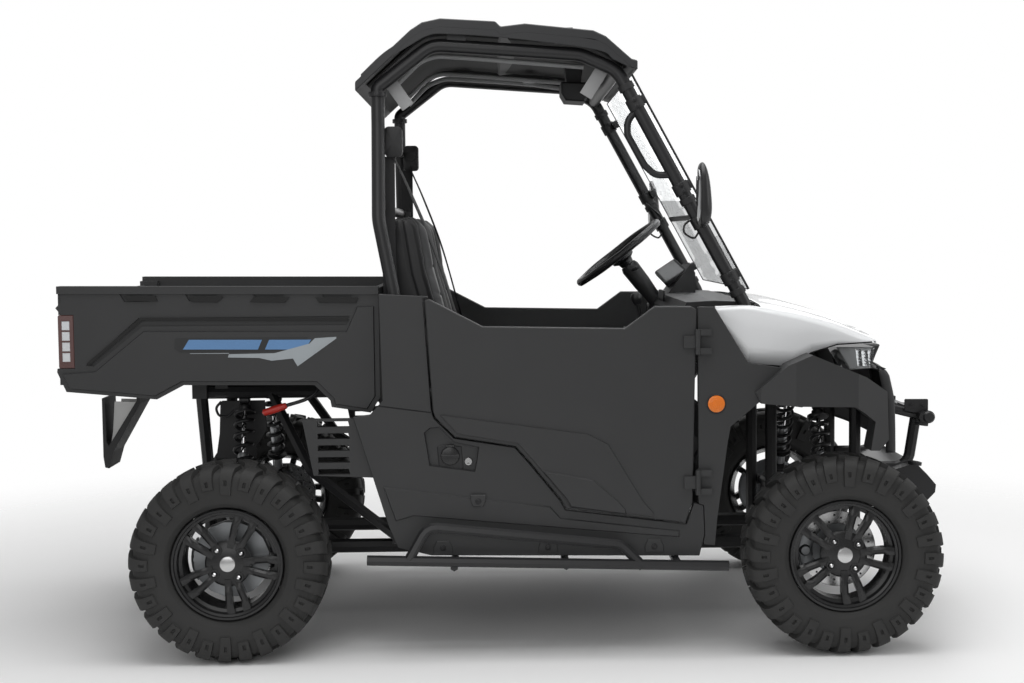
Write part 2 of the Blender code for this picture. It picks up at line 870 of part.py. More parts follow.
def build_battery_box():
    top = seat_height - cushion_depth - fit
    solid = box(
        sill_rear_x + frame_radius + fit, seat_box_front_x,
        -seat_box_half, seat_box_half, sill_rail_height + cross_radius + fit, top,
    )
    bevel(solid, overrun)
    return finish(solid, "battery_box", BLACK_PLASTIC)


def build_seats():
    for side, hand in SIDES:
        low, high = both(seat_centre - seat_half, seat_centre + seat_half, side)
        cushion = prism(
            spread(
                seat_cushion_shares, cushion_rear_x, seat_box_front_x + seat_overhang,
                seat_height - cushion_depth, seat_height,
            ),
            low, high,
        )
        finish(bevel(cushion, seat_round, 2), "seat_cushion_" + hand, SEAT_VINYL)
        back = prism(
            spread(
                seat_back_shares, seat_back_rear_x, seat_back_rear_x + seat_back_depth,
                seat_height + fit, seat_back_height,
            ),
            low, high,
        )
        finish(bevel(back, seat_round, 2), "seat_back_" + hand, SEAT_VINYL)


# Drive units, arms and shocks

def build_drives():
    for name, x, hull, outer in (
        ("rear_drive", rear_axle_x, motor_size, rear_carrier_half + ball_joint_radius),
        ("front_drive", front_axle_x, gearbox_size, kingpin_half - knuckle_sweep - door_gap),
    ):
        half, height = hull
        length = 2 * (arm_spread - cradle_radius - fit)
        solid = box(
            x - length / 2, x + length / 2, -half, half,
            axle_height - height / 2, axle_height + height / 2 + drive_rise,
        )
        bevel(solid, drive_round, 2)
        foot = box(
            x - arm_spread - cradle_radius, x + arm_spread + cradle_radius,
            -drive_foot_half, drive_foot_half,
            axle_height - arm_drop + cradle_radius + fit, axle_height - height / 4,
        )
        shaft = rod((x, -outer, axle_height), (x, outer, axle_height), half_shaft_radius, 8)
        finish(join(solid, foot, shaft), name, CAST_ALLOY)


def build_arms():
    """Wishbones above and below each axle, carried by the pivot tubes of one cradle."""
    for name, x, outer, shock_half in (
        ("rear_arms", rear_axle_x, rear_carrier_half, rear_shock_half),
        ("front_arms", front_axle_x, kingpin_half, front_shock_half),
    ):
        pieces = []
        pin_half = arm_spread * (outer - shock_half) / (outer - inner_pivot_half)
        for side, hand in SIDES:
            y = side * shock_half
            z = axle_height + arm_drop
            pieces.append(rod((x - pin_half, y, z), (x + pin_half, y, z), shock_pin_radius, 6))
        for drop in (-arm_drop, arm_drop):
            z = axle_height + drop
            for along in (-arm_spread, arm_spread):
                reach = inner_pivot_half + pivot_radius
                pieces.append(rod((x + along, -reach, z), (x + along, reach, z), cradle_radius, 6))
            for side, hand in SIDES:
                inner = side * inner_pivot_half
                reach = arm_post_reach - frame_radius - fit
                pieces.append(rod((x - reach, inner, z), (x + reach, inner, z), pivot_radius, 8))
                for along in (-arm_spread, arm_spread):
                    pieces.append(rod((x + along, inner, z), (x, side * outer, z), arm_radius, 6))
                pieces.append(rod(
                    (x, side * outer, z - ball_joint_reach), (x, side * outer, z + ball_joint_reach),
                    ball_joint_radius, 8,
                ))
        for side, hand in SIDES:
            for along in (-arm_spread, arm_spread):
                at = (x + along, side * (inner_pivot_half - rail_radius - cradle_radius - fit))
                pieces.append(rod(
                    (*at, axle_height - arm_drop), (*at, axle_height + arm_drop), arm_radius, 6,
                ))
        solid = pieces[0]
        join(solid, *pieces[1:])
        finish(solid, name, BLACK_STEEL)


def build_shocks():
    """Coil-over dampers from the pins on the upper arms to the towers, with upright end eyes."""
    low_z = axle_height + arm_drop + shock_pin_radius + fit
    for place, x, top_half, top_z, low_half in (
        ("front", front_axle_x, shock_bridge_half - cross_radius,
         front_tower_height - cross_radius - fit, front_shock_half),
        ("rear", rear_axle_x, rear_rail_half, upper_rail_height - rail_radius - fit,
         rear_shock_half),
    ):
        for side, hand in SIDES:
            low = Vector((x, side * low_half, low_z))
            top = Vector((x, side * top_half, top_z))
            eye = Vector((0, 0, shock_eye))
            solid = tube([low, low + eye, top - eye, top], shock_radius)
            start = (low + eye).lerp(top - eye, spring_shares[0])
            end = (low + eye).lerp(top - eye, spring_shares[1])
            join(solid, rod(start, end, spring_radius, 10))
            finish(solid, place + "_shock_" + hand, BLACK_STEEL)


# Wheels, knuckles and carriers

def tyre_angle(step, way, slant):
    """The angle of a corner of the tread, where each way's lugs take every other step."""
    widening = -lug_widening if (step % 2 == 0) == (way < 0) else lug_widening
    return 2 * math.pi * (step + 0.5) / wheel_steps + slant * lug_slant + abs(slant) * widening


def build_tyre(centre, width):
    """A hollow-backed carcass and two staggered rows of slanted lugs that wrap its shoulders."""
    bead = rim_radius + fit
    height = tyre_radius - lug_depth - bead
    shape = bmesh.new()

    def corner(step, way, row, raised=0.0):
        share, across, slant, out, aside = tyre_rows[row]
        angle = tyre_angle(step % wheel_steps, way, slant)
        if raised:
            middle = tyre_angle(math.floor(raised) % wheel_steps, way, slant)
            after = tyre_angle((math.floor(raised) + 1) % wheel_steps, way, slant)
            after += 2 * math.pi * (after < middle)
            angle += 2 * math.pi * (angle < middle)
            angle += lug_taper_share * ((middle + after) / 2 - angle)
        radius = bead + share * height + (out * lug_depth if raised else 0)
        along = way * (across * width / 2 + (aside * lug_depth if raised else 0))
        return Vector(centre) + Vector((radius * math.sin(angle), along, -radius * math.cos(angle)))

    last = len(tyre_rows) - 1
    grids = {
        way: [[shape.verts.new(corner(step, way, row)) for row in range(last + 1)]
              for step in range(wheel_steps)]
        for way in (-1, 1)
    }
    for step in range(wheel_steps):
        after = (step + 1) % wheel_steps
        for row in (0, last):
            shape.faces.new((
                grids[-1][step][row], grids[-1][after][row],
                grids[1][after][row], grids[1][step][row],
            ))
        for way, grid in grids.items():
            raised = (step % 2 == 0) == (way < 0)
            low = [[grid[at][row] for at in (step, after)] for row in range(last + 1)]
            shape.faces.new((low[0][0], low[0][1], low[1][1], low[1][0]))
            if not raised:
                for row in range(1, last):
                    shape.faces.new((low[row][0], low[row][1], low[row + 1][1], low[row + 1][0]))
                continue
            top = [low[0]] + [
                [shape.verts.new(corner(at, way, row, step + 0.5)) for at in (step, step + 1)]
                for row in range(1, last + 1)
            ]
            for row in range(1, last):
                shape.faces.new((top[row][0], top[row][1], top[row + 1][1], top[row + 1][0]))
                for end in (0, 1):
                    shape.faces.new((
                        low[row][end], low[row + 1][end], top[row + 1][end], top[row][end],
                    ))
            for row in (1, last):
                shape.faces.new((low[row][0], low[row][1], top[row][1], top[row][0]))
    return solid_of(shape)


def build_wheels():
    for place, x, width, outer in (
        ("front", front_axle_x, front_tyre_width, front_tyre_outer),
        ("rear", rear_axle_x, rear_tyre_width, rear_tyre_outer),
    ):
        for side, hand in SIDES:
            centre = (x, side * (outer - width / 2), axle_height)
            tyre = build_tyre(centre, width)
            finish(tyre, place + "_tyre_" + hand, TYRE_RUBBER, centre)
            finish(build_rim(centre, width, side), place + "_rim_" + hand, RIM_BLACK, centre)


def build_rim(centre, width, side):
    """A barrel with five pairs of spokes round a hub, its face on the outer side."""
    x, y, z = centre
    half = width / 2 - rim_inset
    inner = rim_radius - barrel_wall
    barrel = [
        (rim_radius, -half), (rim_radius, half), (inner, half), (inner, -half),
    ]
    solid = turned(barrel, centre, wheel_steps)
    face = side * (width / 2 - spoke_face)
    back = face - side * spoke_depth
    hub = turned(
        [(bore_radius, back), (hub_radius, back), (hub_radius, face), (bore_radius, face)],
        centre, 14,
    )
    solid_spokes = []
    for number in range(spoke_count):
        for lean in (-spoke_lean, spoke_lean):
            angle = 2 * math.pi * number / spoke_count + math.pi / 2
            root = polar(hub_radius * spoke_root_share, angle + lean * spoke_root_spread)
            start = Vector((x, y, z)) + root
            end = Vector((x, y, z)) + polar(rim_radius - barrel_wall / 2, angle + lean)
            across = (end - start).cross(Vector((0, 1, 0))).normalized() * spoke_half
            ring = [start - across, end - across, end + across, start + across]
            low, high = sorted((y + face, y + back))
            solid_spokes.append(prism([(p.x, p.z) for p in ring], low, high))
    join(solid, *solid_spokes)
    return join(solid, hub)


def polar(radius, angle):
    return Vector((radius * math.cos(angle), 0, radius * math.sin(angle)))


def build_knuckles():
    """An upright between the ball joints, with the stub axle that enters the hub's bore."""
    for side, hand in SIDES:
        pivot = (front_axle_x, side * kingpin_half, axle_height)
        face = front_tyre_outer - spoke_face
        reach = arm_drop - ball_joint_reach - fit
        outer = kingpin_half + ball_joint_depth
        low, high = both(kingpin_half - ball_joint_depth, outer, side)
        solid = box(
            front_axle_x - knuckle_half, front_axle_x + knuckle_half, low, high,
            axle_height - reach, axle_height + reach,
        )
        bevel(solid, knuckle_round)
        stub = rod(
            (front_axle_x, side * (outer - overrun), axle_height),
            (front_axle_x, side * face, axle_height), bore_radius - fit - fit, 10,
        )
        disc = turned(
            [(bore_radius / 2, 0), (brake_radius, 0), (brake_radius, brake_wall),
             (bore_radius / 2, brake_wall)],
            (front_axle_x, side * (outer + brake_gap), axle_height), 16,
        )
        finish(join(solid, stub, disc), "front_knuckle_" + hand, CAST_ALLOY, pivot)


def build_carriers():
    for side, hand in SIDES:
        face = rear_tyre_outer - spoke_face
        inner = rear_carrier_half + ball_joint_radius + fit
        outer = inner + 2 * ball_joint_depth
        low, high = both(inner, outer, side)
        reach = arm_drop
        solid = box(
            rear_axle_x - knuckle_half, rear_axle_x + knuckle_half, low, high,
            axle_height - reach, axle_height + reach,
        )
        bevel(solid, knuckle_round)
        stub = rod(
            (rear_axle_x, side * (outer - overrun), axle_height),
            (rear_axle_x, side * face, axle_height), bore_radius - fit - fit, 10,
        )
        disc = turned(
            [(bore_radius / 2, 0), (brake_radius, 0), (brake_radius, brake_wall),
             (bore_radius / 2, brake_wall)],
            (rear_axle_x, side * (outer + brake_gap), axle_height), 16,
        )
        finish(join(solid, stub, disc), "rear_carrier_" + hand, CAST_ALLOY)


# Cab side panels, doors and fenders

def side_panel_outline(shares):
    return spread(
        shares, cab_rear_x - side_panel_tail, sill_front_x + panel_seam,
        sill_height, side_panel_top,
    )


def build_side_panels():
    for side, hand in SIDES:
        low, high = both(cab_half - panel_wall, cab_half, side)
        solid = prism(side_panel_outline(side_panel_shares), low, high)
        opening = prism(grown(door_outline(door_shares), door_gap), low - overrun, high + overrun)
        cut(solid, opening)
        bevel(solid, panel_round)
        join(solid, slab(
            side_panel_outline(sill_step_shares), side * (cab_half - panel_wall / 2),
            side * (cab_half + relief_rise), relief_rise * 2,
        ))
        groove = both(cab_half - relief_rise, cab_half + overrun, side)
        cut(solid, prism(side_panel_outline(seam_shares), *groove))
        if hand == "right":
            cut(solid, slab(
                side_panel_outline(pocket_shares), side * (cab_half + overrun),
                side * (cab_half - panel_wall / 2), relief_rise,
            ))
        join(solid, louvre(side))
        finish(solid, "side_panel_" + hand, CHARCOAL)


def louvre(side):
    """The slatted guard behind the cab, a plate with slots cut through it."""
    rear = cab_rear_x - side_panel_tail - louvre_length
    front = cab_rear_x - side_panel_tail + louvre_lap
    inner, outer = both(cab_half - panel_wall - louvre_wall, cab_half - panel_wall / 2, side)
    bounds = (rear, front, louvre_foot, louvre_foot + louvre_height)
    plate = prism(spread(louvre_shares, *bounds), inner, outer)
    slots = []
    for number in range(louvre_slots):
        pitch = 1 / louvre_slots
        rows = [(u, (number + row) * pitch) for u, row in louvre_slot_shares]
        slots.append(prism(spread(rows, *bounds), inner - overrun, outer + overrun))
    return cut(plate, *slots)


def build_doors():
    for side, hand in SIDES:
        low, high = both(door_half - door_wall, door_half, side)
        pivot = (hinge_x, side * hinge_half, door_base_height + door_height / 2)
        solid = prism(door_outline(door_shares), low, high)
        bevel(solid, panel_round)
        for shares, foot, rise in (
            (door_relief_shares, -door_wall / 2, relief_rise),
            (door_step_shares, relief_rise / 2, relief_rise * 2),
        ):
            join(solid, slab(
                door_outline(shares), side * (door_half + foot), side * (door_half + rise),
                relief_rise,
            ))
        for share in hinge_height_shares:
            z = door_base_height + share * door_height
            knuckle = rod(
                (hinge_x, side * hinge_half, z - hinge_length / 2),
                (hinge_x, side * hinge_half, z + hinge_length / 2), hinge_radius, 8,
            )
            leaf = box(
                hinge_x - leaf_length, hinge_x,
                *both(door_half - overrun, hinge_half, side),
                z - hinge_length / 2, z + hinge_length / 2,
            )
            join(solid, leaf, knuckle)
        finish(solid, "door_" + hand, CHARCOAL, pivot)


def build_fenders():
    for side, hand in SIDES:
        low, high = both(cab_half - panel_wall, cab_half, side)
        outline = spread(fender_shares, fender_rear_x, fender_front_x, fender_foot, fender_top)
        solid = prism(outline, low, high)
        flare = prism(
            spread(flare_shares, flare_rear_x, flare_front_x, flare_foot, flare_top),
            *both(fascia_half, flare_half, side),
        )
        plan = [
            (x, side * y)
            for x, y in spread(
                flare_plan_shares, flare_rear_x, flare_front_x, hood_half, flare_half
            )
        ]
        keeper = prism(plan, flare_foot - overrun, flare_top + overrun, "Z")
        within(flare, keeper)
        join(solid, flare)
        seam = grown(side_panel_outline(side_panel_shares), panel_gap)
        cut(solid, prism(seam, low - overrun, high + overrun))
        bracket = box(
            sill_front_x - frame_radius, sill_front_x + frame_radius,
            *both(sill_rail_half + frame_radius + fit, cab_half - panel_wall / 2, side),
            floor_height + bracket_rise, floor_height + bracket_rise + 2 * frame_radius,
        )
        join(solid, bracket)
        for share in hinge_height_shares:
            z = door_base_height + share * door_height
            for way in (-1, 1):
                near = z + way * (hinge_length / 2 + fit)
                far = near + way * hinge_length / 2
                barrel = rod(
                    (hinge_x, side * hinge_half, near), (hinge_x, side * hinge_half, far),
                    hinge_radius, 8,
                )
                leaf = box(
                    hinge_x, hinge_x + leaf_length,
                    *both(cab_half - overrun, hinge_half, side), min(near, far), max(near, far),
                )
                join(solid, leaf, barrel)
        finish(solid, "front_fender_" + hand, CHARCOAL)


# Hood, fascia and lamps

def hood_width(share):
    """Half the hood's width at a share of its length."""
    return hood_half + (hood_nose_half - hood_half) * share ** 2


def hood_loops(inset):
    loops = []
    for share, top, shoulder, seam in hood_section_shares:
        x = hood_rear_x + share * (hood_front_x - hood_rear_x)
        half = hood_width(share) - inset
        base = cowl_height - hood_drop
        zt = base + top * hood_drop - inset
        zs = base + shoulder * hood_drop - inset
        zb = base + seam * hood_drop
        zc = (zs + 2 * zt) / 3
        loops.append([
            (x, -half, zb), (x, -half, zs), (x, -half * hood_crown_share, zc), (x, 0, zt),
            (x, half * hood_crown_share, zc), (x, half, zs), (x, half, zb),
        ])
    return loops


def build_hood():
    solid = shell(hood_loops(0.0), hood_loops(shell_wall))
    cowl = box(
        hood_rear_x - overrun, windscreen_foot_x, -cowl_half, cowl_half,
        cowl_height - hood_drop, cowl_height + overrun,
    )
    cut(solid, cowl)
    wall_half = hood_width((cowl_post_x - hood_rear_x) / (hood_front_x - hood_rear_x))
    boss_foot = cowl_height - hood_drop
    for side, hand in SIDES:
        boss = box(
            cowl_post_x - frame_radius, cowl_post_x + frame_radius,
            *both(pillar_half + cage_radius + fit, wall_half - shell_wall / 2, side),
            boss_foot, boss_foot + 2 * frame_radius,
        )
        join(solid, boss)
    return finish(solid, "hood", WHITE)


def build_fascia():
    outline = spread(
        fascia_shares, fascia_rear_x, fascia_front_x, fascia_foot, fascia_top
    )
    wing = [
        (fascia_rear_x + (x - fascia_rear_x) * wing_depth_share,
         fascia_top + (z - fascia_top) * wing_height_share) for x, z in outline
    ]
    solid = loft([
        [(x, y, z) for x, z in plan] for y, plan in (
            (fit - fascia_half, wing), (-fascia_half * grille_body_share, outline),
            (fascia_half * grille_body_share, outline), (fascia_half - fit, wing),
        )
    ])
    slots = []
    for number in range(grille_rows):
        z = fascia_foot + (number + 1) * (fascia_top - fascia_foot) / (grille_rows + 1)
        slots.append(box(
            fascia_rear_x - overrun, fascia_front_x + overrun, -grille_half, grille_half,
            z - grille_slot / 2, z + grille_slot / 2,
        ))
    cut(solid, *slots)
    for side, hand in SIDES:
        y = side * inner_pivot_half
        boss = box(
            front_axle_x + arm_post_reach + frame_radius + fit, fascia_front_x - fascia_wall,
            y - frame_radius, y + frame_radius,
            front_tower_height - 3 * frame_radius, front_tower_height - frame_radius,
        )
        join(solid, boss)
    return finish(solid, "front_fascia", CHARCOAL)


def build_headlights():
    for side, hand in SIDES:
        outline = spread(lamp_shares, lamp_rear_x, lamp_front_x, lamp_foot, lamp_top)
        solid = prism(outline, *both(lamp_inner_half, lamp_outer_half, side))
        finish(bevel(solid, panel_round), "headlight_" + hand, LAMP)


def build_front_bumper():
    guard_x = nose_x - guard_radius - guard_setback
    solid = tube([
        (guard_x, -guard_half, guard_top), (guard_x, guard_half, guard_top),
    ], guard_radius)
    pieces = []
    for side, hand in SIDES:
        y = side * inner_pivot_half
        pieces.append(tube([
            (guard_x, y, guard_top), (guard_x - guard_lean, y, guard_base),
            (front_axle_x + arm_post_reach + frame_radius + fit, y, guard_base),
        ], guard_radius, guard_bend))
        stay = (
            fascia_front_x + fit + stay_radius / 2, y * stay_spread_share, guard_top + stay_rise,
        )
        pieces.append(rod((guard_x, y * stay_spread_share, guard_top), stay, stay_radius))
        pieces.append(box(
            guard_x - guard_radius * 2, guard_x + guard_radius / 2,
            *both(stay_tab, stay_tab * 2, side),
            guard_top + guard_radius / 2, guard_top + guard_radius * 3 / 2,
        ))
    pieces.append(rod(
        (guard_x - guard_lean, -inner_pivot_half, guard_base),
        (guard_x - guard_lean, inner_pivot_half, guard_base), stay_radius,
    ))
    nose = spread(nose_shares, nose_x - nose_depth, nose_x, nose_foot, nose_top)
    pieces.append(prism(nose, -nose_half, nose_half))
    join(solid, *pieces)
    return finish(solid, "front_bumper", BLACK_STEEL)


# Cargo bed

def bed_outline(shares):
    return spread(
        shares, tail_x, bed_front_x, bed_rail_height - bed_side_height, bed_rail_height
    )


def build_bed():
    """An open tub with folded rails, rear posts that hold the lamps, and sills on the frame."""
    floor = box(
        tailgate_axis_x + tailgate_wall, bed_front_x - bed_wall / 2,
        -bed_half + bed_wall / 2, bed_half - bed_wall / 2,
        bed_floor_height, bed_floor_height + bed_wall,
    )
    head = box(
        bed_front_x - bed_wall, bed_front_x, -bed_half + bed_wall / 2, bed_half - bed_wall / 2,
        bed_floor_height, bed_rail_height - bed_rail_depth / 2,
    )
    pieces = [head]
    grooves = []
    for number in range(bed_groove_count):
        y = (number + 0.5 - bed_groove_count / 2) * bed_groove_pitch
        grooves.append(box(
            tailgate_axis_x + 2 * tailgate_wall, bed_front_x - 2 * bed_wall,
            y - bed_groove_width / 2, y + bed_groove_width / 2,
            bed_floor_height + bed_wall - bed_groove_depth, bed_floor_height + bed_wall + overrun,
        ))
    cut(floor, *grooves)
    for side, hand in SIDES:
        wall = prism(bed_outline(bed_side_shares), *both(bed_half - bed_wall, bed_half, side))
        join(wall, slab(
            bed_outline(bed_step_shares), side * (bed_half - bed_wall / 2),
            side * (bed_half + bed_step), bed_step,
        ))
        groove = both(bed_half - bed_wall / 3, bed_half + overrun, side)
        cut(wall, prism(bed_outline(bed_channel_shares), *groove))
        for share in bed_window_shares:
            cut(wall, prism(bed_outline([
                (share + u * bed_window_share, v) for u, v in bed_notch_shares
            ]), *groove))
        cap = prism(
            bed_outline(bed_cap_shares), *both(bed_half - bed_rail_width, bed_half + bed_step, side)
        )
        rail = box(
            tail_x + bed_rail_depth, bed_front_x,
            *both(bed_half - bed_rail_width, bed_half - bed_wall / 2, side),
            bed_rail_height - 2 * bed_rail_depth, bed_rail_height - bed_rail_depth / 2,
        )
        post = box(
            tail_x + tailgate_gap, tail_x + post_length,
            *both(tailgate_half + tailgate_gap, bed_half - bed_wall / 2, side),
            bed_floor_height, bed_rail_height - bed_rail_depth / 2,
        )
        pocket = box(
            tail_x - overrun, tail_x + lamp_length + fit,
            *both(tail_lamp_inner - fit, bed_half + overrun, side),
            tail_lamp_foot - fit, tail_lamp_foot + tail_lamp_height + fit,
        )
        sill = box(
            bed_hinge_x + frame_radius * 2, bed_front_x - bed_wall,
            *both(rear_rail_half - frame_radius, rear_rail_half + frame_radius, side),
            upper_rail_height + rail_radius + fit, bed_floor_height + bed_wall / 2,
        )
        ear = box(
            bed_hinge_x - rail_radius, bed_hinge_x + rail_radius,
            *both(rear_rail_half + rail_radius + fit, rear_rail_half + ear_reach, side),
            bed_hinge_height - frame_radius, bed_floor_height + bed_wall / 2,
        )
        join(wall, rail, post, cap)
        cut(wall, pocket)
        pieces.extend((wall, sill, ear))
    join(floor, *pieces)
    return finish(floor, "bed_tub", CHARCOAL, (bed_hinge_x, 0, bed_hinge_height))


def build_tailgate():
    """A flat gate on a pin between the bed's rear posts."""
    pivot = (tailgate_axis_x, 0, tailgate_axis_height)
    solid = box(
        tailgate_axis_x - tailgate_wall / 2, tailgate_axis_x + tailgate_wall / 2,
        -tailgate_half, tailgate_half, bed_floor_height, bed_rail_height - bed_rail_depth,
    )
    bevel(solid, panel_round)
    recess = spread(
        gate_recess_shares, -tailgate_half, tailgate_half, bed_floor_height, bed_rail_height,
    )
    cut(solid, prism(
        recess, tailgate_axis_x - tailgate_wall, tailgate_axis_x - tailgate_wall / 3, "X"
    ))
    reach = tailgate_half + tailgate_gap - fit
    pin = rod(
        (tailgate_axis_x, -reach, tailgate_axis_height),
        (tailgate_axis_x, reach, tailgate_axis_height), tailgate_pin_radius,
    )
    return finish(join(solid, pin), "tailgate", CHARCOAL, pivot)


def build_tail_lights():
    for side, hand in SIDES:
        solid = box(
            tail_x + tailgate_gap, tail_x + lamp_length,
            *both(tail_lamp_inner, bed_half - fit, side),
            tail_lamp_foot, tail_lamp_foot + tail_lamp_height,
        )
        finish(bevel(solid, panel_round), "tail_light_" + hand, RED_LAMP)


def build_plate_bracket():
    """A tongue that stands under the gate and the strut that carries it from the bed's floor."""
    outline = spread(
        plate_shares, tail_x + panel_gap, tail_x + plate_depth, bed_floor_height - plate_drop,
        bed_floor_height - fit,
    )
    return finish(prism(outline, -plate_half, plate_half), "plate_bracket", BLACK_PLASTIC)


# Cage, roof and glass

def roof_line(shares):
    return spread(
        shares, roof_rear_x, roof_front_x, roof_top_height - roof_drop, roof_top_height
    )


def rail_points():
    """The side rail's centre line from the hoop over the cab and down to the cowl."""
    rail = roof_line(rail_shares)
    hoop_x = cab_rear_x + hoop_offset
    return [
        (hoop_x, hoop_height + fit), (hoop_x, hoop_height + cage_radius), *rail,
        (pillar_foot_x, pillar_foot_height),
        (cowl_post_x, cowl_post_height + frame_radius + fit),
    ]


def side_rail(side, radius):
    halves = [rail_half] * (len(rail_shares) + 2) + [pillar_half] * 2
    path = [(x, side * half, z) for (x, z), half in zip(rail_points(), halves)]
    return tube(path, radius, rail_bend)


def pillar_point(share):
    """A point of the pillar's centre line in the X and Z plane, from its foot to its top."""
    foot = Vector((pillar_foot_x, pillar_foot_height))
    top = Vector(rail_points()[-3])
    return foot.lerp(top, share)


def pillar_normal():
    along = pillar_point(1) - pillar_point(0)
    return Vector((along.y, -along.x)).normalized()


def build_roof():
    top = roof_line(roof_shares)
    under = [(x, z - roof_wall) for x, z in reversed(top)]
    solid = prism(top + under, -roof_half, roof_half)
    bevel(solid, panel_round)
    for side, hand in SIDES:
        for share in roof_pad_shares:
            x = roof_rear_x + share * (roof_front_x - roof_rear_x)
            pad = box(
                x - pad_half, x + pad_half,
                *both(rail_half - cage_radius / 2, rail_half + cage_radius / 2, side),
                roof_top_height - roof_drop / 2, roof_top_height - roof_wall,
            )
            cut(pad, side_rail(side, cage_radius + fit))
            remove_below(pad, roof_top_height - roof_wall - pad_depth)
            join(solid, pad)
    return finish(solid, "roof", BLACK_PLASTIC)


def remove_below(obj, height):
    """Keeps what lies above a height."""
    reach = overall_length
    return within(obj, box(-reach, reach, -reach, reach, height, height + reach))


def build_cage():
    foot = cage_foot_height
    hoop_x = cab_rear_x + hoop_offset
    solid = None
    for side, hand in SIDES:
        post = tube([
            (sill_rear_x, side * cage_foot_half, foot),
            (sill_rear_x, side * cage_foot_half, side_panel_top),
            (hoop_x, side * cage_foot_half, hoop_bend_height),
            (hoop_x, side * rail_half, hoop_height - foot_rise),
            (hoop_x, side * rail_half, hoop_height),
        ], cage_radius, hoop_bend)
        solid = join(solid, post) if solid else post
    for share in cross_bar_shares:
        z = hoop_bend_height + share * (hoop_height - foot_rise - hoop_bend_height)
        half = cage_foot_half + (rail_half - cage_foot_half) * share
        join(solid, rod((hoop_x, -half, z), (hoop_x, half, z), cross_radius))
    finish(solid, "cage_rear_hoop", BLACK_STEEL)
    normal = pillar_normal()
    along = (pillar_point(1) - pillar_point(0)).normalized()
    for side, hand in SIDES:
        solid = side_rail(side, cage_radius)
        for share in clamp_shares:
            at = pillar_point(share)
            lift = normal * (cage_radius + glass_standoff - fit)
            arm = along * tab_half
            outline = [
                tuple(at - arm), tuple(at + arm), tuple(at + arm + lift), tuple(at - arm + lift),
            ]
            tab = prism(outline, *both(glass_half - clamp_half, pillar_half, side))
            start = at - along * clamp_half
            end = at + along * clamp_half
            collar = rod(
                (start.x, side * pillar_half, start.y), (end.x, side * pillar_half, end.y),
                cage_radius + clamp_wall, 8,
            )
            join(solid, tab, collar)
        if hand == "right":
            join(solid, grab_handle(side, normal))
        finish(solid, "cage_side_" + hand, BLACK_STEEL)
    x, z = rail_points()[-3]
    inner = rail_half - cage_radius - fit
    header = rod((x, -inner, z), (x, inner, z), cage_radius)
    finish(header, "cage_header", BLACK_STEEL)


def grab_handle(side, normal):
    """A bent bar on the cab side of the pillar."""
    path = [pillar_point(share) - normal * reach for share, reach in handle_stops]
    points = [(p.x, side * pillar_half, p.y) for p in path]
    return tube(points, handle_radius, handle_bend)


def build_windscreen():
    """Two flat clear panes on the pillars' clamps, one above the other."""
    normal = pillar_normal()
    back = normal * (cage_radius + glass_standoff)
    for name, low, high in (
        ("windscreen_lower", glass_foot_share, glass_split_share),
        ("windscreen_upper", glass_split_share + fit, glass_top_share),
    ):
        a = pillar_point(low) + back
        b = pillar_point(high) + back
        outline = [tuple(p) for p in (a, b, b + normal * glass_wall, a + normal * glass_wall)]
        finish(prism(outline, -glass_half, glass_half), name, CLEAR)


# Dashboard, steering wheel and mirrors

def dash_solid(margin):
    """The dashboard with its pod, grown by a margin."""
    outline = spread(
        dash_shares, dash_rear_x, windscreen_foot_x - overrun, cowl_height - dash_drop,
        cowl_height - overrun,
    )
    solid = prism(grown(outline, margin), -dash_half, dash_half)
    pod = spread(
        pod_shares, dash_rear_x + overrun, dash_rear_x + pod_length, cowl_height - pod_sink,
        cowl_height + pod_rise,
    )
    return join(solid, prism(grown(pod, margin), steering_y - pod_half, steering_y + pod_half))


def build_dash():
    return finish(dash_solid(0.0), "dashboard", BLACK_PLASTIC)


def column_heading():
    return Vector((math.cos(column_angle), 0, math.sin(column_angle)))


def build_steering():
    centre = Vector((steering_x, steering_y, steering_height))
    heading = column_heading()
    side = Vector((0, 1, 0))
    up = heading.cross(side)
    ring = []
    steps = 22
    for step in range(steps):
        angle = 2 * math.pi * step / steps
        out = side * math.cos(angle) + up * math.sin(angle)
        ring.append([
            centre + out * (steering_radius + steering_grip * math.cos(2 * math.pi * at / 6))
            + heading * steering_grip * math.sin(2 * math.pi * at / 6)
            for at in range(6)
        ])
    solid = loft(ring, closed=True)
    hub_end = centre + heading * wheel_dish
    pieces = [rod(centre + heading * steering_grip, hub_end, column_radius * 2, 12)]
    for angle in (math.radians(a) for a in spoke_angle_degrees):
        out = side * math.cos(angle) + up * math.sin(angle)
        pieces.append(rod(
            centre + heading * wheel_dish / 2, centre + out * steering_radius, wheel_spoke_radius, 6,
        ))
    join(solid, *pieces)
    finish(solid, "steering_wheel", BLACK_PLASTIC, tuple(centre))
    start = hub_end + heading * fit
    column = rod(start, centre + heading * column_length, column_radius, 10)
    cut(column, dash_solid(fit))
    finish(column, "steering_column", BLACK_PLASTIC)


def build_mirrors():
    for side, hand in SIDES:
        outline = spread(mirror_shares, mirror_x, mirror_x + mirror_depth, mirror_foot,
                         mirror_foot + mirror_height)
        solid = prism(outline, *both(mirror_inner_half, mirror_inner_half + mirror_width, side))
        bevel(solid, mirror_round)
        pillar_x, pillar_z = pillar_point(mirror_arm_share)
        foot = (
            pillar_x, side * (pillar_half + cage_radius + fit), pillar_z,
        )
        arm = tube([
            foot, (pillar_x, side * (mirror_inner_half + mirror_width / 3), pillar_z),
            (mirror_x + mirror_depth / 2, side * (mirror_inner_half + mirror_width / 3),
             mirror_foot + mirror_depth),
        ], mirror_arm_radius, mirror_arm_bend)
        finish(join(solid, arm), "mirror_" + hand, BLACK_PLASTIC)


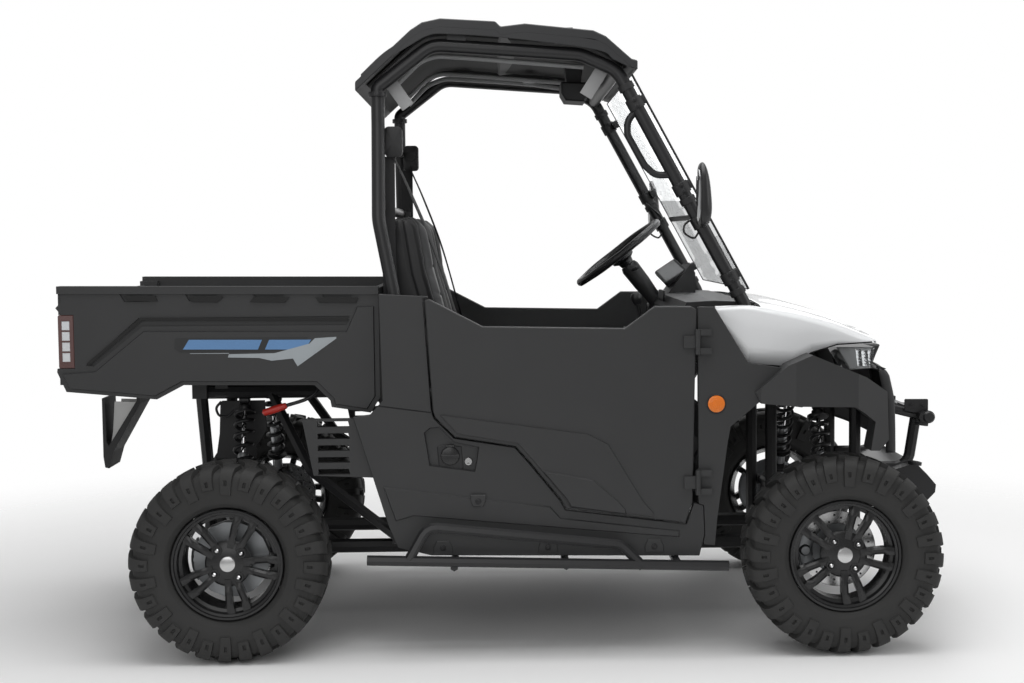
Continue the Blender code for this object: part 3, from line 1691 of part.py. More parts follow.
def build_step_bars():
    for side, hand in SIDES:
        low = side * step_half
        rear = cab_rear_x - step_tail
        front = door_front_x + step_lead
        inner = side * (step_half - step_radius)
        solid = rod((rear, low, step_rear_height), (front, low, step_front_height), step_radius)
        hoop = tube([
            (cab_rear_x + loop_rear_foot, low, step_rear_height),
            (cab_rear_x + loop_rear_crown, inner, loop_rear_height),
            (door_front_x - loop_front_crown, inner, loop_front_height),
            (door_front_x - loop_front_foot, low, step_front_height),
        ], step_radius, step_bend)
        pieces = [hoop]
        for share in step_bracket_shares:
            x = rear + share * (front - rear)
            z = sill_height - bracket_radius - panel_gap
            pieces.append(tube([
                (x, low, z), (x, side * sill_rail_half, z),
                (x, side * sill_rail_half, sill_rail_height - frame_radius - fit),
            ], bracket_radius, sides=6))
        join(solid, *pieces)
        finish(solid, "step_bar_" + hand, BLACK_STEEL)


def build_hitch():
    tube_flat = cross_radius * math.cos(math.pi / cross_sides)
    front = rear_axle_x - frame_tail + rail_radius - tube_flat - fit
    solid = box(
        front - receiver_length, front, -receiver_half, receiver_half,
        frame_rail_height - receiver_half, frame_rail_height + receiver_half,
    )
    ball_x = front - receiver_length - receiver_half
    tongue = box(
        ball_x - receiver_half / 2, front - receiver_length / 2,
        -tongue_half, tongue_half,
        frame_rail_height - tongue_half / 2, frame_rail_height + tongue_half / 3,
    )
    angles = [2 * math.pi * at / ball_sides for at in range(ball_sides)]
    ball = loft([
        [
            Vector((
                ball_x + share * ball_radius * math.cos(angle),
                share * ball_radius * math.sin(angle),
                frame_rail_height + receiver_half + along * ball_radius,
            ))
            for angle in angles
        ]
        for share, along in ball_shares
    ])
    join(solid, tongue, ball)
    return finish(solid, "hitch", BARE_STEEL)


def main():
    clear_scene()
    build_frame()
    build_floor()
    build_battery_box()
    build_seats()
    build_drives()
    build_arms()
    build_shocks()
    build_wheels()
    build_knuckles()
    build_carriers()
    build_side_panels()
    build_doors()
    build_fenders()
    build_hood()
    build_fascia()
    build_headlights()
    build_front_bumper()
    build_bed()
    build_tailgate()
    build_tail_lights()
    build_plate_bracket()
    build_roof()
    build_cage()
    build_windscreen()
    build_dash()
    build_steering()
    build_mirrors()
    build_step_bars()
    build_hitch()


main()
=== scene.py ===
"""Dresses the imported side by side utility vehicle: finishes, wheels, seats, lamps, trim and stage."""

import math

import bmesh
import bpy
import numpy as np
from bpy.props import FloatProperty, FloatVectorProperty, IntProperty, PointerProperty
from mathutils import Matrix, Vector


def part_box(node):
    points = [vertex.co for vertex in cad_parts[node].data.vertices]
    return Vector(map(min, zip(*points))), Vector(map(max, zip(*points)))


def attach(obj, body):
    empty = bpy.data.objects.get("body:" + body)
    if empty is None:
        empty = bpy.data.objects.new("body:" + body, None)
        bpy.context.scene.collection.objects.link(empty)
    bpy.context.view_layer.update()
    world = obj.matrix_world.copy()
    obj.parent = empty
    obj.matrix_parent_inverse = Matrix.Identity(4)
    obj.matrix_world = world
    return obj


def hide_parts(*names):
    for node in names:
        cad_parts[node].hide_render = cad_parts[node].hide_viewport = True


bl_info = {
    "name": "Utility Vehicle Dressing",
    "version": (1, 0, 0),
    "blender": (4, 5, 0),
    "location": "View3D > Sidebar > Vehicle",
    "description": "Adds the finishes, tyres, rims, seats, lamps and trim of a side by side utility vehicle",
    "category": "Object",
}

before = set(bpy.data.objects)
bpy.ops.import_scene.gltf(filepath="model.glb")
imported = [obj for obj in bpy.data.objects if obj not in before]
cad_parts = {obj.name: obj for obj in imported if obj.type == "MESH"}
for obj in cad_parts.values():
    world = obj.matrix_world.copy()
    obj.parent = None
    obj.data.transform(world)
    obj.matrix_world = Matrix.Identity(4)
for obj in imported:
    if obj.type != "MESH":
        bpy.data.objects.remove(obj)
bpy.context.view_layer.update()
SIDES = ((-1, "right"), (1, "left"))
TURN = 2 * math.pi


# Shape tools: every new surface is a grid of points

def link_mesh(name, mesh, look):
    """An object at the origin that holds a mesh in one finish."""
    obj = bpy.data.objects.new(name, mesh)
    bpy.context.scene.collection.objects.link(obj)
    mesh.materials.append(bpy.data.materials[look])
    return obj


def grid_faces(rows, columns, round_rows=False, round_columns=False, start=0):
    """Quads that join each point of a grid to the next row and the next column."""
    r = np.arange(rows if round_rows else rows - 1)
    c = np.arange(columns if round_columns else columns - 1)
    r, c = np.meshgrid(r, c, indexing="ij")
    s, d = (r + 1) % rows, (c + 1) % columns
    quads = np.stack([r * columns + c, r * columns + d, s * columns + d, s * columns + c], -1)
    return quads.reshape(-1, 4) + start


class Pile:
    """Grids gathered into one mesh, so that a group of small parts is one piece."""

    def __init__(self):
        self.points, self.faces, self.count = [], [], 0

    def grid(self, points, round_rows=False, round_columns=False, flip=False):
        """An array of points by rows and columns, joined to their neighbours."""
        points = np.asarray(points, float)
        rows, columns = points.shape[:2]
        faces = grid_faces(rows, columns, round_rows, round_columns, self.count)
        self.faces += (faces[:, ::-1] if flip else faces).tolist()
        self.points.append(points.reshape(-1, 3))
        self.count += rows * columns
        return self

    def tube(self, path, section, up=(0, 0, 1), closed=False):
        """A closed section carried along a path: point = path + a side + b up, a and b from the section."""
        path = np.asarray(path, float)
        section = np.asarray(section, float)
        ahead = np.roll(path, -1, 0) - path
        back = path - np.roll(path, 1, 0)
        if not closed:
            ahead[-1], back[0] = back[-1], ahead[0]
        along = ahead / np.linalg.norm(ahead, axis=1)[:, None] + back / np.linalg.norm(back, axis=1)[:, None]
        along /= np.linalg.norm(along, axis=1)[:, None]
        side = np.cross(along, np.asarray(up, float))
        side /= np.linalg.norm(side, axis=1)[:, None]
        rise = np.cross(side, along)
        if section.ndim == 2:
            section = np.repeat(section[None], len(path), 0)
        grid = path[:, None] + section[..., :1] * side[:, None] + section[..., 1:2] * rise[:, None]
        if closed:
            return self.grid(grid, round_rows=True, round_columns=True, flip=True)
        return self.bar(grid, True)

    def bar(self, rings, flip=False):
        """Rings joined one to the next, with a fan over the first and the last."""
        self.grid(rings, round_columns=True, flip=flip)
        self.cap(rings[0], not flip)
        return self.cap(rings[-1], flip)

    def cap(self, ring, flip):
        """A fan from the middle of a ring."""
        count = len(ring)
        self.points.append(np.vstack([ring, ring.mean(0)[None]]))
        order = [[at, (at + 1) % count, count] for at in range(count)]
        self.faces += [[self.count + i for i in (f[::-1] if flip else f)] for f in order]
        self.count += count + 1
        return self

    def turned(self, profile, centre, axis=(0, 1, 0), steps=48, closed=False, flip=False):
        """A profile of (radius, along) pairs turned about an axis through the centre."""
        profile = np.asarray(profile, float)
        if not closed:
            profile = np.vstack([profile[:1] * [0, 1], profile, profile[-1:] * [0, 1]])
        along = Vector(axis).normalized()
        a = along.orthogonal().normalized()
        b = along.cross(a)
        t = np.arange(steps) * TURN / steps
        spoke = np.cos(t)[:, None] * np.array(a) + np.sin(t)[:, None] * np.array(b)
        grid = (np.asarray(centre, float) + spoke[:, None] * profile[None, :, :1]
                + np.array(along) * profile[None, :, 1:2])
        return self.grid(grid, round_rows=True, round_columns=closed, flip=not flip)

    def make(self, name, look, body="chassis", replaces=(), smooth=True, sharp=32, shell=False):
        """The mesh with its seams and poles welded, riding on a body; a closed one's faces are turned
        outward, and an open sheet keeps the sides that its grid gave it."""
        made = bmesh.new()
        verts = [made.verts.new(point) for point in np.vstack(self.points).tolist()]
        for face in self.faces:
            made.faces.new([verts[at] for at in face])
        bmesh.ops.remove_doubles(made, verts=made.verts, dist=2e-6)
        bmesh.ops.dissolve_degenerate(made, edges=made.edges, dist=1e-7)
        if not shell:
            bmesh.ops.recalc_face_normals(made, faces=made.faces)
        mesh = bpy.data.meshes.new(name)
        made.to_mesh(mesh)
        made.free()
        if smooth:
            mesh.shade_smooth()
            mesh.set_sharp_from_angle(angle=math.radians(sharp))
        return settle(link_mesh(name, mesh, look), body, replaces)


def wall(obj, thickness, offset=-1.0, weld=None):
    """Welds an open sheet's seams, if asked, and gives the sheet a thickness inward or outward."""
    if weld:
        obj.modifiers.new("Joint", "WELD").merge_threshold = weld
    sheet = obj.modifiers.new("Wall", "SOLIDIFY")
    sheet.thickness, sheet.offset = thickness, offset


def settle(obj, body, replaces=()):
    """Lets a finished piece ride on its body and hides the solids that it replaces."""
    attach(obj, body)
    if replaces:
        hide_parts(*replaces)
    return obj


def circle(radius, sides=10):
    """Points evenly round a circle: the radius times the cosine and the sine of each angle."""
    t = np.arange(sides) * TURN / sides
    return np.stack([np.cos(t), np.sin(t)], 1) * radius


def rounded_rectangle(width, height, radius, steps=4):
    """Corner arcs of one radius joined round a rectangle about the origin."""
    t = np.linspace(0, math.pi / 2, steps)
    arc = np.stack([np.cos(t), np.sin(t)], 1) * radius
    corners = []
    for at, (sx, sy) in enumerate(((1, 1), (-1, 1), (-1, -1), (1, -1))):
        spin = at * math.pi / 2
        turn = np.array([[math.cos(spin), math.sin(spin)], [-math.sin(spin), math.cos(spin)]])
        corners.append(arc @ turn + [sx * (width / 2 - radius), sy * (height / 2 - radius)])
    return np.vstack(corners)


def curve_through(points, steps=12):
    """A smooth path through points: the Catmull-Rom cubic of each four neighbours."""
    p = np.asarray(points, float)
    p = np.vstack([2 * p[0] - p[1], p, 2 * p[-1] - p[-2]])
    t = np.linspace(0, 1, steps, endpoint=False)[:, None]
    runs = [
        0.5 * (2 * b + (c - a) * t + (2 * a - 5 * b + 4 * c - d) * t ** 2
               + (3 * b - a - 3 * c + d) * t ** 3)
        for a, b, c, d in zip(p, p[1:], p[2:], p[3:])
    ]
    return np.vstack(runs + [p[-2][None]])


def upright(points, y):
    """Places in X and Z set at a distance from the middle."""
    return np.array([(x, y, z) for x, z in points], float)


def to_side(points, side):
    """Places of the left side taken to either side."""
    return np.asarray(points, float) * [1, side, 1]


def sized(section, scales):
    """A section repeated along a path, each time at its own size."""
    return np.asarray(section)[None] * np.asarray(scales, float)[:, None, None]


def step(low, high, value):
    """A smooth ramp from nought at low to one at high."""
    t = np.clip((value - low) / (high - low), 0, 1)
    return t * t * (3 - 2 * t)


# Finishes


def socket(group, name, kind, way, value=None):
    """A named input or output of a node group."""
    made = group.interface.new_socket(name, in_out=way, socket_type="NodeSocket" + kind)
    if value is not None:
        made.default_value = value


def wire(tree, source, target):
    """Links an output to an input."""
    tree.links.new(source, target)


def surface_group():
    """Mottled colour, uneven sheen and a fine pebbled relief, from noise in metres."""
    group = bpy.data.node_groups.new("Pebbled Surface", "ShaderNodeTree")
    for name, kind, value in (
        ("Colour", "Color", (0.1, 0.1, 0.1, 1)), ("Mottle", "Float", 0.1), ("Grain", "Float", 1400.0),
        ("Depth", "Float", 0.00005), ("Sheen Low", "Float", 0.4), ("Sheen High", "Float", 0.55),
    ):
        socket(group, name, kind, "INPUT", value)
    for name, kind in (("Colour", "Color"), ("Roughness", "Float"), ("Normal", "Vector")):
        socket(group, name, kind, "OUTPUT")
    n = group.nodes
    inside, outside = n.new("NodeGroupInput"), n.new("NodeGroupOutput")
    place = n.new("ShaderNodeTexCoord")
    broad, fine = n.new("ShaderNodeTexNoise"), n.new("ShaderNodeTexNoise")
    broad.inputs["Scale"].default_value = 7.0
    broad.inputs["Detail"].default_value = 5.0
    fine.inputs["Detail"].default_value = 2.0
    wire(group, place.outputs["Object"], broad.inputs["Vector"])
    wire(group, place.outputs["Object"], fine.inputs["Vector"])
    wire(group, inside.outputs["Grain"], fine.inputs["Scale"])
    dark = n.new("ShaderNodeMix")
    dark.data_type = "RGBA"
    dark.blend_type = "MULTIPLY"
    shade = n.new("ShaderNodeMapRange")
    shade.inputs["To Min"].default_value = 0.55
    shade.inputs["To Max"].default_value = 1.35
    wire(group, broad.outputs["Fac"], shade.inputs["Value"])
    wire(group, inside.outputs["Mottle"], dark.inputs["Factor"])
    wire(group, inside.outputs["Colour"], dark.inputs[6])
    wire(group, shade.outputs["Result"], dark.inputs[7])
    sheen = n.new("ShaderNodeMapRange")
    wire(group, fine.outputs["Fac"], sheen.inputs["Value"])
    wire(group, inside.outputs["Sheen Low"], sheen.inputs["To Min"])
    wire(group, inside.outputs["Sheen High"], sheen.inputs["To Max"])
    bump = n.new("ShaderNodeBump")
    wire(group, fine.outputs["Fac"], bump.inputs["Height"])
    wire(group, inside.outputs["Depth"], bump.inputs["Distance"])
    wire(group, dark.outputs[2], outside.inputs["Colour"])
    wire(group, sheen.outputs["Result"], outside.inputs["Roughness"])
    wire(group, bump.outputs["Normal"], outside.inputs["Normal"])
    return group


def finish(name, slot, colour, sheen=(0.4, 0.55), metallic=0.0, mottle=0.3, grain=1400.0,
           depth=0.00005, **shader_values):
    """A finish that reads the pebbled surface group, its plain values on the shader itself."""
    made = bpy.data.materials.new(name)
    made.use_nodes = True
    tree = made.node_tree
    shader = tree.nodes["Principled BSDF"]
    relief = tree.nodes.new("ShaderNodeGroup")
    relief.node_tree = bpy.data.node_groups["Pebbled Surface"]
    for key, value in (("Colour", (*colour, 1)), ("Mottle", mottle), ("Grain", grain), ("Depth", depth),
                       ("Sheen Low", sheen[0]), ("Sheen High", sheen[1])):
        relief.inputs[key].default_value = value
    wire(tree, relief.outputs["Colour"], shader.inputs["Base Color"])
    wire(tree, relief.outputs["Roughness"], shader.inputs["Roughness"])
    wire(tree, relief.outputs["Normal"], shader.inputs["Normal"])
    shader.inputs["Metallic"].default_value = metallic
    for key, value in shader_values.items():
        shader.inputs[key.replace("_", " ")].default_value = value
    return made


def clear(name, colour, roughness, ior=1.49):
    """A clear sheet or lens."""
    made = bpy.data.materials.new(name)
    made.use_nodes = True
    shader = made.node_tree.nodes["Principled BSDF"]
    shader.inputs["Base Color"].default_value = (*colour, 1)
    shader.inputs["Roughness"].default_value = roughness
    shader.inputs["IOR"].default_value = ior
    shader.inputs["Transmission Weight"].default_value = 1.0
    return made


FINISHES = (
    # name, slot, colour, sheen, metallic, mottle, grain, depth
    ("Charcoal Panel", "charcoal_plastic", (0.028, 0.0284, 0.0292), (0.46, 0.60), 0.0, 0.22, 1500, 4e-5),
    ("Charcoal Bed", "charcoal_plastic", (0.027, 0.0274, 0.0282), (0.44, 0.60), 0.0, 0.26, 1100, 6e-5),
    ("Black Moulding", "black_plastic", (0.016, 0.016, 0.017), (0.48, 0.62), 0.0, 0.30, 1200, 6e-5),
    ("Roof Moulding", "black_plastic", (0.020, 0.0205, 0.022), (0.36, 0.50), 0.0, 0.25, 900, 5e-5),
    ("Powder Coat", "black_steel", (0.014, 0.014, 0.015), (0.30, 0.42), 0.0, 0.20, 700, 3e-5),
    ("Chassis Coat", "black_steel", (0.010, 0.010, 0.011), (0.38, 0.52), 0.0, 0.40, 500, 4e-5),
    ("Tyre Rubber", "tyre_rubber", (0.024, 0.0238, 0.0232), (0.62, 0.80), 0.0, 0.35, 2200, 5e-5),
    ("Rim Paint", "rim_black", (0.010, 0.010, 0.0105), (0.22, 0.32), 0.0, 0.15, 900, 1e-5),
    ("Spring Coat", "black_steel", (0.010, 0.010, 0.011), (0.30, 0.42), 0.0, 0.10, 600, 1e-5),
    ("Dark Bolt", "black_steel", (0.030, 0.030, 0.031), (0.28, 0.40), 0.6, 0.20, 700, 2e-5),
    ("Cushion Vinyl", "seat_vinyl", (0.016, 0.016, 0.017), (0.40, 0.58), 0.0, 0.25, 650, 1.2e-4),
    ("Webbing", "seat_vinyl", (0.012, 0.012, 0.013), (0.65, 0.80), 0.0, 0.30, 900, 1.5e-4),
    ("Cast Alloy", "cast_alloy", (0.30, 0.31, 0.32), (0.35, 0.55), 1.0, 0.35, 600, 8e-5),
    ("Machined Steel", "bare_steel", (0.58, 0.58, 0.58), (0.18, 0.30), 1.0, 0.25, 800, 1e-5),
    ("Bright Plate", "bare_steel", (0.72, 0.72, 0.73), (0.06, 0.12), 1.0, 0.15, 500, 5e-6),
    ("Silver Tube", "cast_alloy", (0.42, 0.43, 0.44), (0.30, 0.42), 0.9, 0.20, 600, 2e-5),
    ("Red Grip", "red_lens", (0.55, 0.030, 0.020), (0.30, 0.42), 0.0, 0.15, 900, 3e-5),
    ("Pale Plate", "cast_alloy", (0.62, 0.62, 0.61), (0.34, 0.46), 0.2, 0.20, 500, 2e-5),
    ("Rib Grey", "cast_alloy", (0.36, 0.362, 0.365), (0.40, 0.52), 0.0, 0.20, 700, 3e-5),
    ("Stripe Blue", "white_paint", (0.105, 0.235, 0.455), (0.30, 0.40), 0.0, 0.12, 500, 1e-5),
    ("Stripe Silver", "white_paint", (0.34, 0.37, 0.39), (0.26, 0.38), 0.35, 0.25, 300, 1e-5),
    ("Stripe Dark", "black_plastic", (0.012, 0.0125, 0.013), (0.36, 0.46), 0.0, 0.15, 500, 1e-5),
    ("Smooth Moulding", "black_plastic", (0.014, 0.014, 0.015), (0.34, 0.44), 0.0, 0.12, 900, 2e-5),
    # Painted shade: a near-black finish for the sheets put in holes, slots, gaps and under the roof, where
    # shade falls.
    ("Painted Recess Shade", "black_plastic", (0.004, 0.004, 0.004), (0.6, 0.75), 0.0, 0.2, 900, 3e-5),
)


def build_finishes():
    """Makes the shared surface group and every finish."""
    surface_group()
    for name, slot, colour, sheen, metallic, mottle, grain, depth in FINISHES:
        finish(name, slot, colour, sheen, metallic, mottle, float(grain), depth)
    finish("White Gloss", "white_paint", (0.8, 0.81, 0.82), (0.16, 0.24), 0.0, 0.05, 300.0, 4e-6,
           Coat_Weight=0.6, Coat_Roughness=0.04)
    clear("Clear Sheet", (0.91, 0.925, 0.93), 0.0, 1.12)
    clear("Lamp Cover", (0.94, 0.96, 0.97), 0.03)
    clear("Red Cover", (0.55, 0.05, 0.035), 0.05)
    finish("Red Frame", "red_lens", (0.115, 0.058, 0.054), (0.14, 0.24), 0.0, 0.15, 400.0, 1e-5)
    finish("Cushion Piping", "seat_vinyl", (0.045, 0.045, 0.046), (0.4, 0.52), 0.0, 0.2, 900.0, 3e-5)
    finish("Screen Glass", "black_plastic", (0.22, 0.225, 0.23), (0.08, 0.14), 0.0, 0.1, 300.0, 1e-6)
    finish("Mirror Glass", "bare_steel", (0.6, 0.61, 0.62), (0.02, 0.03), 1.0, 0.02, 300.0, 1e-7)
    finish("Edge Trim", "black_plastic", (0.02, 0.02, 0.021), (0.4, 0.5), 0.0, 0.1, 900.0, 2e-5)
    finish("Amber Lens", "red_lens", (0.8, 0.2, 0.02), (0.1, 0.18), 0.0, 0.1, 300.0, 2e-5)
    finish("Lamp Silver", "lamp_lens", (0.8, 0.81, 0.82), (0.08, 0.16), 1.0, 0.1, 400.0, 1e-5)
    finish("Lamp Block", "lamp_lens", (0.66, 0.68, 0.7), (0.1, 0.2), 0.0, 0.3, 260.0, 6e-5)


NODE_FINISH = (
    ("Charcoal Panel", ("side_panel", "door_", "front_fender", "front_fascia")),
    ("Charcoal Bed", ("bed_tub", "tailgate")),
    ("White Gloss", ("hood",)),
    ("Powder Coat", ("cage_", "step_bar", "front_bumper")),
    ("Chassis Coat", ("frame", "front_arms", "rear_arms")),
    ("Black Moulding", ("dashboard", "floor_pan", "battery_box", "mirror_", "steering_", "plate_bracket")),
    ("Roof Moulding", ("roof",)),
    ("Cast Alloy", ("front_knuckle", "rear_carrier", "front_drive", "rear_drive")),
    ("Bright Plate", ("hitch",)),
    ("Clear Sheet", ("windscreen",)),
    ("Lamp Cover", ("headlight",)),
    ("Red Cover", ("tail_light",)),
    ("Powder Coat", ("front_shock", "rear_shock")),
    ("Tyre Rubber", ("front_tyre", "rear_tyre")),
    ("Rim Paint", ("front_rim", "rear_rim")),
    ("Cushion Vinyl", ("seat_",)),
)


def dress_nodes():
    """Gives each solid the first finish whose list holds the start of its name."""
    for name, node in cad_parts.items():
        for look, starts in NODE_FINISH:
            if name.startswith(starts):
                node.data.materials.clear()
                node.data.materials.append(bpy.data.materials[look])
                break


# Sizes that a user may change

class VehicleSizes(bpy.types.PropertyGroup):
    """The sizes and colours that a user would change"""
    lug_count: IntProperty(name="Tread Lugs", description="Lugs round each shoulder", default=28, min=12)
    lug_depth: FloatProperty(name="Lug Depth", description="Height of the lugs", default=0.014,
                             unit="LENGTH")
    rim_radius: FloatProperty(name="Rim Radius", description="Radius of the rim's lip", default=0.183,
                              unit="LENGTH")
    piping: FloatProperty(name="Seam Width", description="Width of a sewn seam", default=0.005,
                          unit="LENGTH")
    floor_colour: FloatVectorProperty(name="Floor Colour", description="Colour of the studio floor",
                                      default=(0.9, 0.9, 0.9), subtype="COLOR")
    light: FloatProperty(name="Light", description="Power of the overhead lamp in watts", default=165.0)


def sizes():
    """The values that a user may change."""
    return bpy.context.scene.vehicle_sizes


# Wheels

AXLE_X = {"front": 1.0725, "rear": -0.9315}
AXLE_HEIGHT = 0.3248
DISC_OUT = {"front": 0.625, "rear": 0.6424}
RIM_FACE_DEPTH = 0.048
SPOKE_PHASE = 0.41
TYRE_ROWS = np.array((
    # width share, height share, long lug, short lug, middle block, pocket
    (0.600, 0.000, 0.00, 0.00, 0.0, 0.0), (0.720, 0.004, 0.00, 0.00, 0.0, 0.0),
    (0.800, 0.040, 0.00, 0.00, 0.0, 0.0), (0.868, 0.110, 0.00, 0.00, 0.0, 0.0),
    (0.885, 0.138, 0.09, 0.09, 0.0, 0.0), (0.903, 0.162, 0.09, 0.09, 0.0, 0.0),
    (0.916, 0.182, 0.00, 0.00, 0.0, 0.0), (0.955, 0.270, 0.00, 0.00, 0.0, 0.0),
    (0.974, 0.365, 0.00, 0.00, 0.0, 0.0), (0.978, 0.385, 0.46, 0.00, 0.0, 0.0),
    (0.986, 0.480, 0.52, 0.00, 0.0, 0.0), (0.988, 0.520, 0.54, 0.00, 0.0, 0.0),
    (0.988, 0.540, 0.55, 0.48, 0.0, 0.0), (0.986, 0.610, 0.56, 0.54, 0.0, 0.0),
    (0.983, 0.630, 0.62, 0.60, 0.0, 0.9), (0.974, 0.720, 0.68, 0.66, 0.0, 0.9),
    (0.970, 0.740, 0.74, 0.72, 0.0, 0.0), (0.948, 0.810, 0.86, 0.84, 0.0, 0.0),
    (0.905, 0.880, 0.98, 0.96, 0.0, 0.0), (0.840, 0.930, 1.00, 1.00, 0.0, 0.0),
    (0.740, 0.960, 1.00, 1.00, 0.0, 0.0), (0.600, 0.978, 1.00, 1.00, 0.0, 0.0),
    (0.470, 0.988, 1.00, 1.00, 0.0, 0.0), (0.440, 0.990, 0.00, 0.00, 0.0, 0.0),
    (0.370, 0.992, 0.00, 0.00, 0.0, 0.0), (0.340, 0.994, 0.00, 0.00, 1.0, 0.0),
    (0.170, 0.998, 0.00, 0.00, 1.0, 0.0), (0.000, 1.000, 0.00, 0.00, 1.0, 0.0),
))
# place within one lug's pitch, side lug, middle block, pocket
TREAD_STEPS = np.array((
    (0.00, 0, 1, 0), (0.06, 0, 1, 0), (0.12, 0, 1, 0), (0.16, 0, 0, 0), (0.20, 1, 0, 0), (0.31, 1, 0, 0),
    (0.42, 1, 0, 0), (0.46, 1, 0, 1), (0.55, 1, 0, 1), (0.59, 1, 0, 0), (0.63, 1, 1, 0), (0.70, 1, 1, 0),
    (0.78, 1, 1, 0), (0.82, 0, 1, 0), (0.91, 0, 1, 0),
))


def tyre_grid(centre, width, radius, bead, count, depth):
    """Rows of the section turned round the axle; each lug's walls lie along the sheared grid lines,
    and a point stands out along the section's normal by the lug height of its row and its step."""
    half, base = width / 2 - depth * 0.55, radius - depth
    rows = np.vstack([TYRE_ROWS, TYRE_ROWS[-2::-1] * [-1, 1, 1, 1, 1, 1]])
    y, r = rows[:, 0] * half, bead + rows[:, 1] * (base - bead)
    dy, dr = np.gradient(y), np.gradient(r)
    size = np.hypot(dy, dr)
    out_y, out_r = dr / size, -dy / size
    pitch = np.arange(count)[:, None] + TREAD_STEPS[None, :, 0]
    odd = (np.arange(count)[:, None] % 2 + np.zeros(len(TREAD_STEPS))).reshape(-1, 1)
    side_lug, middle, pocket = (np.tile(TREAD_STEPS[:, k], count)[:, None] for k in (1, 2, 3))
    long_row, short_row, middle_row, pocket_row = (rows[:, k][None] for k in (2, 3, 4, 5))
    lug = np.where(odd > 0, long_row, short_row) * side_lug
    ring = np.where((long_row > 0) & (long_row < 0.1), long_row, 0)
    rise = depth * (np.maximum(np.where(long_row < 0.1, 0, lug), ring) + middle_row * middle
                    - 0.45 * pocket_row * pocket)
    shear = 0.5 * step(-0.36, 0.36, rows[:, 0]) + 0.42 * np.abs(rows[:, 0]) ** 1.5
    t = (pitch.reshape(-1, 1) + shear[None]) * TURN / count
    yy = np.clip(y[None] + out_y[None] * rise, -width / 2, width / 2)
    rr = np.minimum(r[None] + out_r[None] * rise, radius)
    return np.stack([centre[0] + rr * np.sin(t), centre[1] + yy, centre[2] - rr * np.cos(t)], -1)


def rim_piece(pile, centre, width, side, lip):
    """A turned barrel with a stepped lip, and five pairs of straight spokes with a raised ridge."""
    half = width / 2 - 0.03
    well = lip - 0.009
    barrel = np.array([
        (lip - 0.004, -half), (lip, -half + 0.003), (lip - 0.006, -half + 0.018), (lip - 0.022, -half * 0.3),
        (lip - 0.022, half * 0.45), (lip - 0.006, half - 0.018), (lip, half - 0.004), (lip - 0.003, half),
        (lip - 0.01, half), (well - 0.003, half - 0.006), (well - 0.01, half - 0.01),
        (well - 0.014, half - 0.026), (well - 0.024, half - 0.03), (well - 0.024, -half * 0.3),
        (well - 0.004, -half + 0.014), (lip - 0.008, -half),
    ])
    barrel[:, 1] *= side
    pile.turned(barrel, centre, steps=72, closed=True, flip=side < 0)
    face = side * (width / 2 - RIM_FACE_DEPTH)
    hub = np.array([(0.0, 0.004), (0.03, 0.003), (0.044, 0.0), (0.068, -0.005), (0.076, -0.012),
                    (0.076, -0.03), (0.0, -0.03)])
    hub[:, 1] = face + side * hub[:, 1]
    pile.turned(hub, centre, steps=60, flip=side < 0)
    share = np.linspace(0, 1, 11)
    reach = lip - 0.008 - 0.05
    ridge = 0.0055 * step(0.14, 0.3, share) * (1 - step(0.7, 0.86, share))
    wide = 0.0205 + 0.005 * share
    drop = -0.024 - 0.004 * share
    for number in range(5):
        angle = TURN * number / 5 + SPOKE_PHASE
        out = np.array([math.sin(angle), 0, math.cos(angle)])
        across = np.array([math.cos(angle), 0, -math.sin(angle)])
        for lean in (-1, 1):
            offset = (0.0125 + 0.0135 * np.clip(share * 1.7, 0, 1)) * lean
            path = (np.asarray(centre) + out * (0.05 + share * reach)[:, None] + across * offset[:, None]
                    + np.array([0, 1, 0]) * (face + side * 0.004 * share)[:, None])
            half_wide = wide / 2
            section = np.stack([
                np.stack([half_wide, drop], 1), np.stack([half_wide, 0 * share], 1),
                np.stack([half_wide * 0.42, ridge], 1), np.stack([-half_wide * 0.42, ridge], 1),
                np.stack([-half_wide, 0 * share], 1), np.stack([-half_wide, drop], 1),
            ], 1)
            pile.tube(path, section, up=(0, side, 0))


def turned_ring(pile, centre, inner, outer, thickness, axis=(0, 1, 0), steps=64, soft=0.0008):
    """A flat ring with eased edges turned about an axis."""
    half = thickness / 2
    pile.turned([(inner, -half + soft), (inner + soft, -half), (outer - soft, -half),
                 (outer, -half + soft), (outer, half - soft), (outer - soft, half),
                 (inner + soft, half), (inner, half - soft)], centre, axis, steps, closed=True)


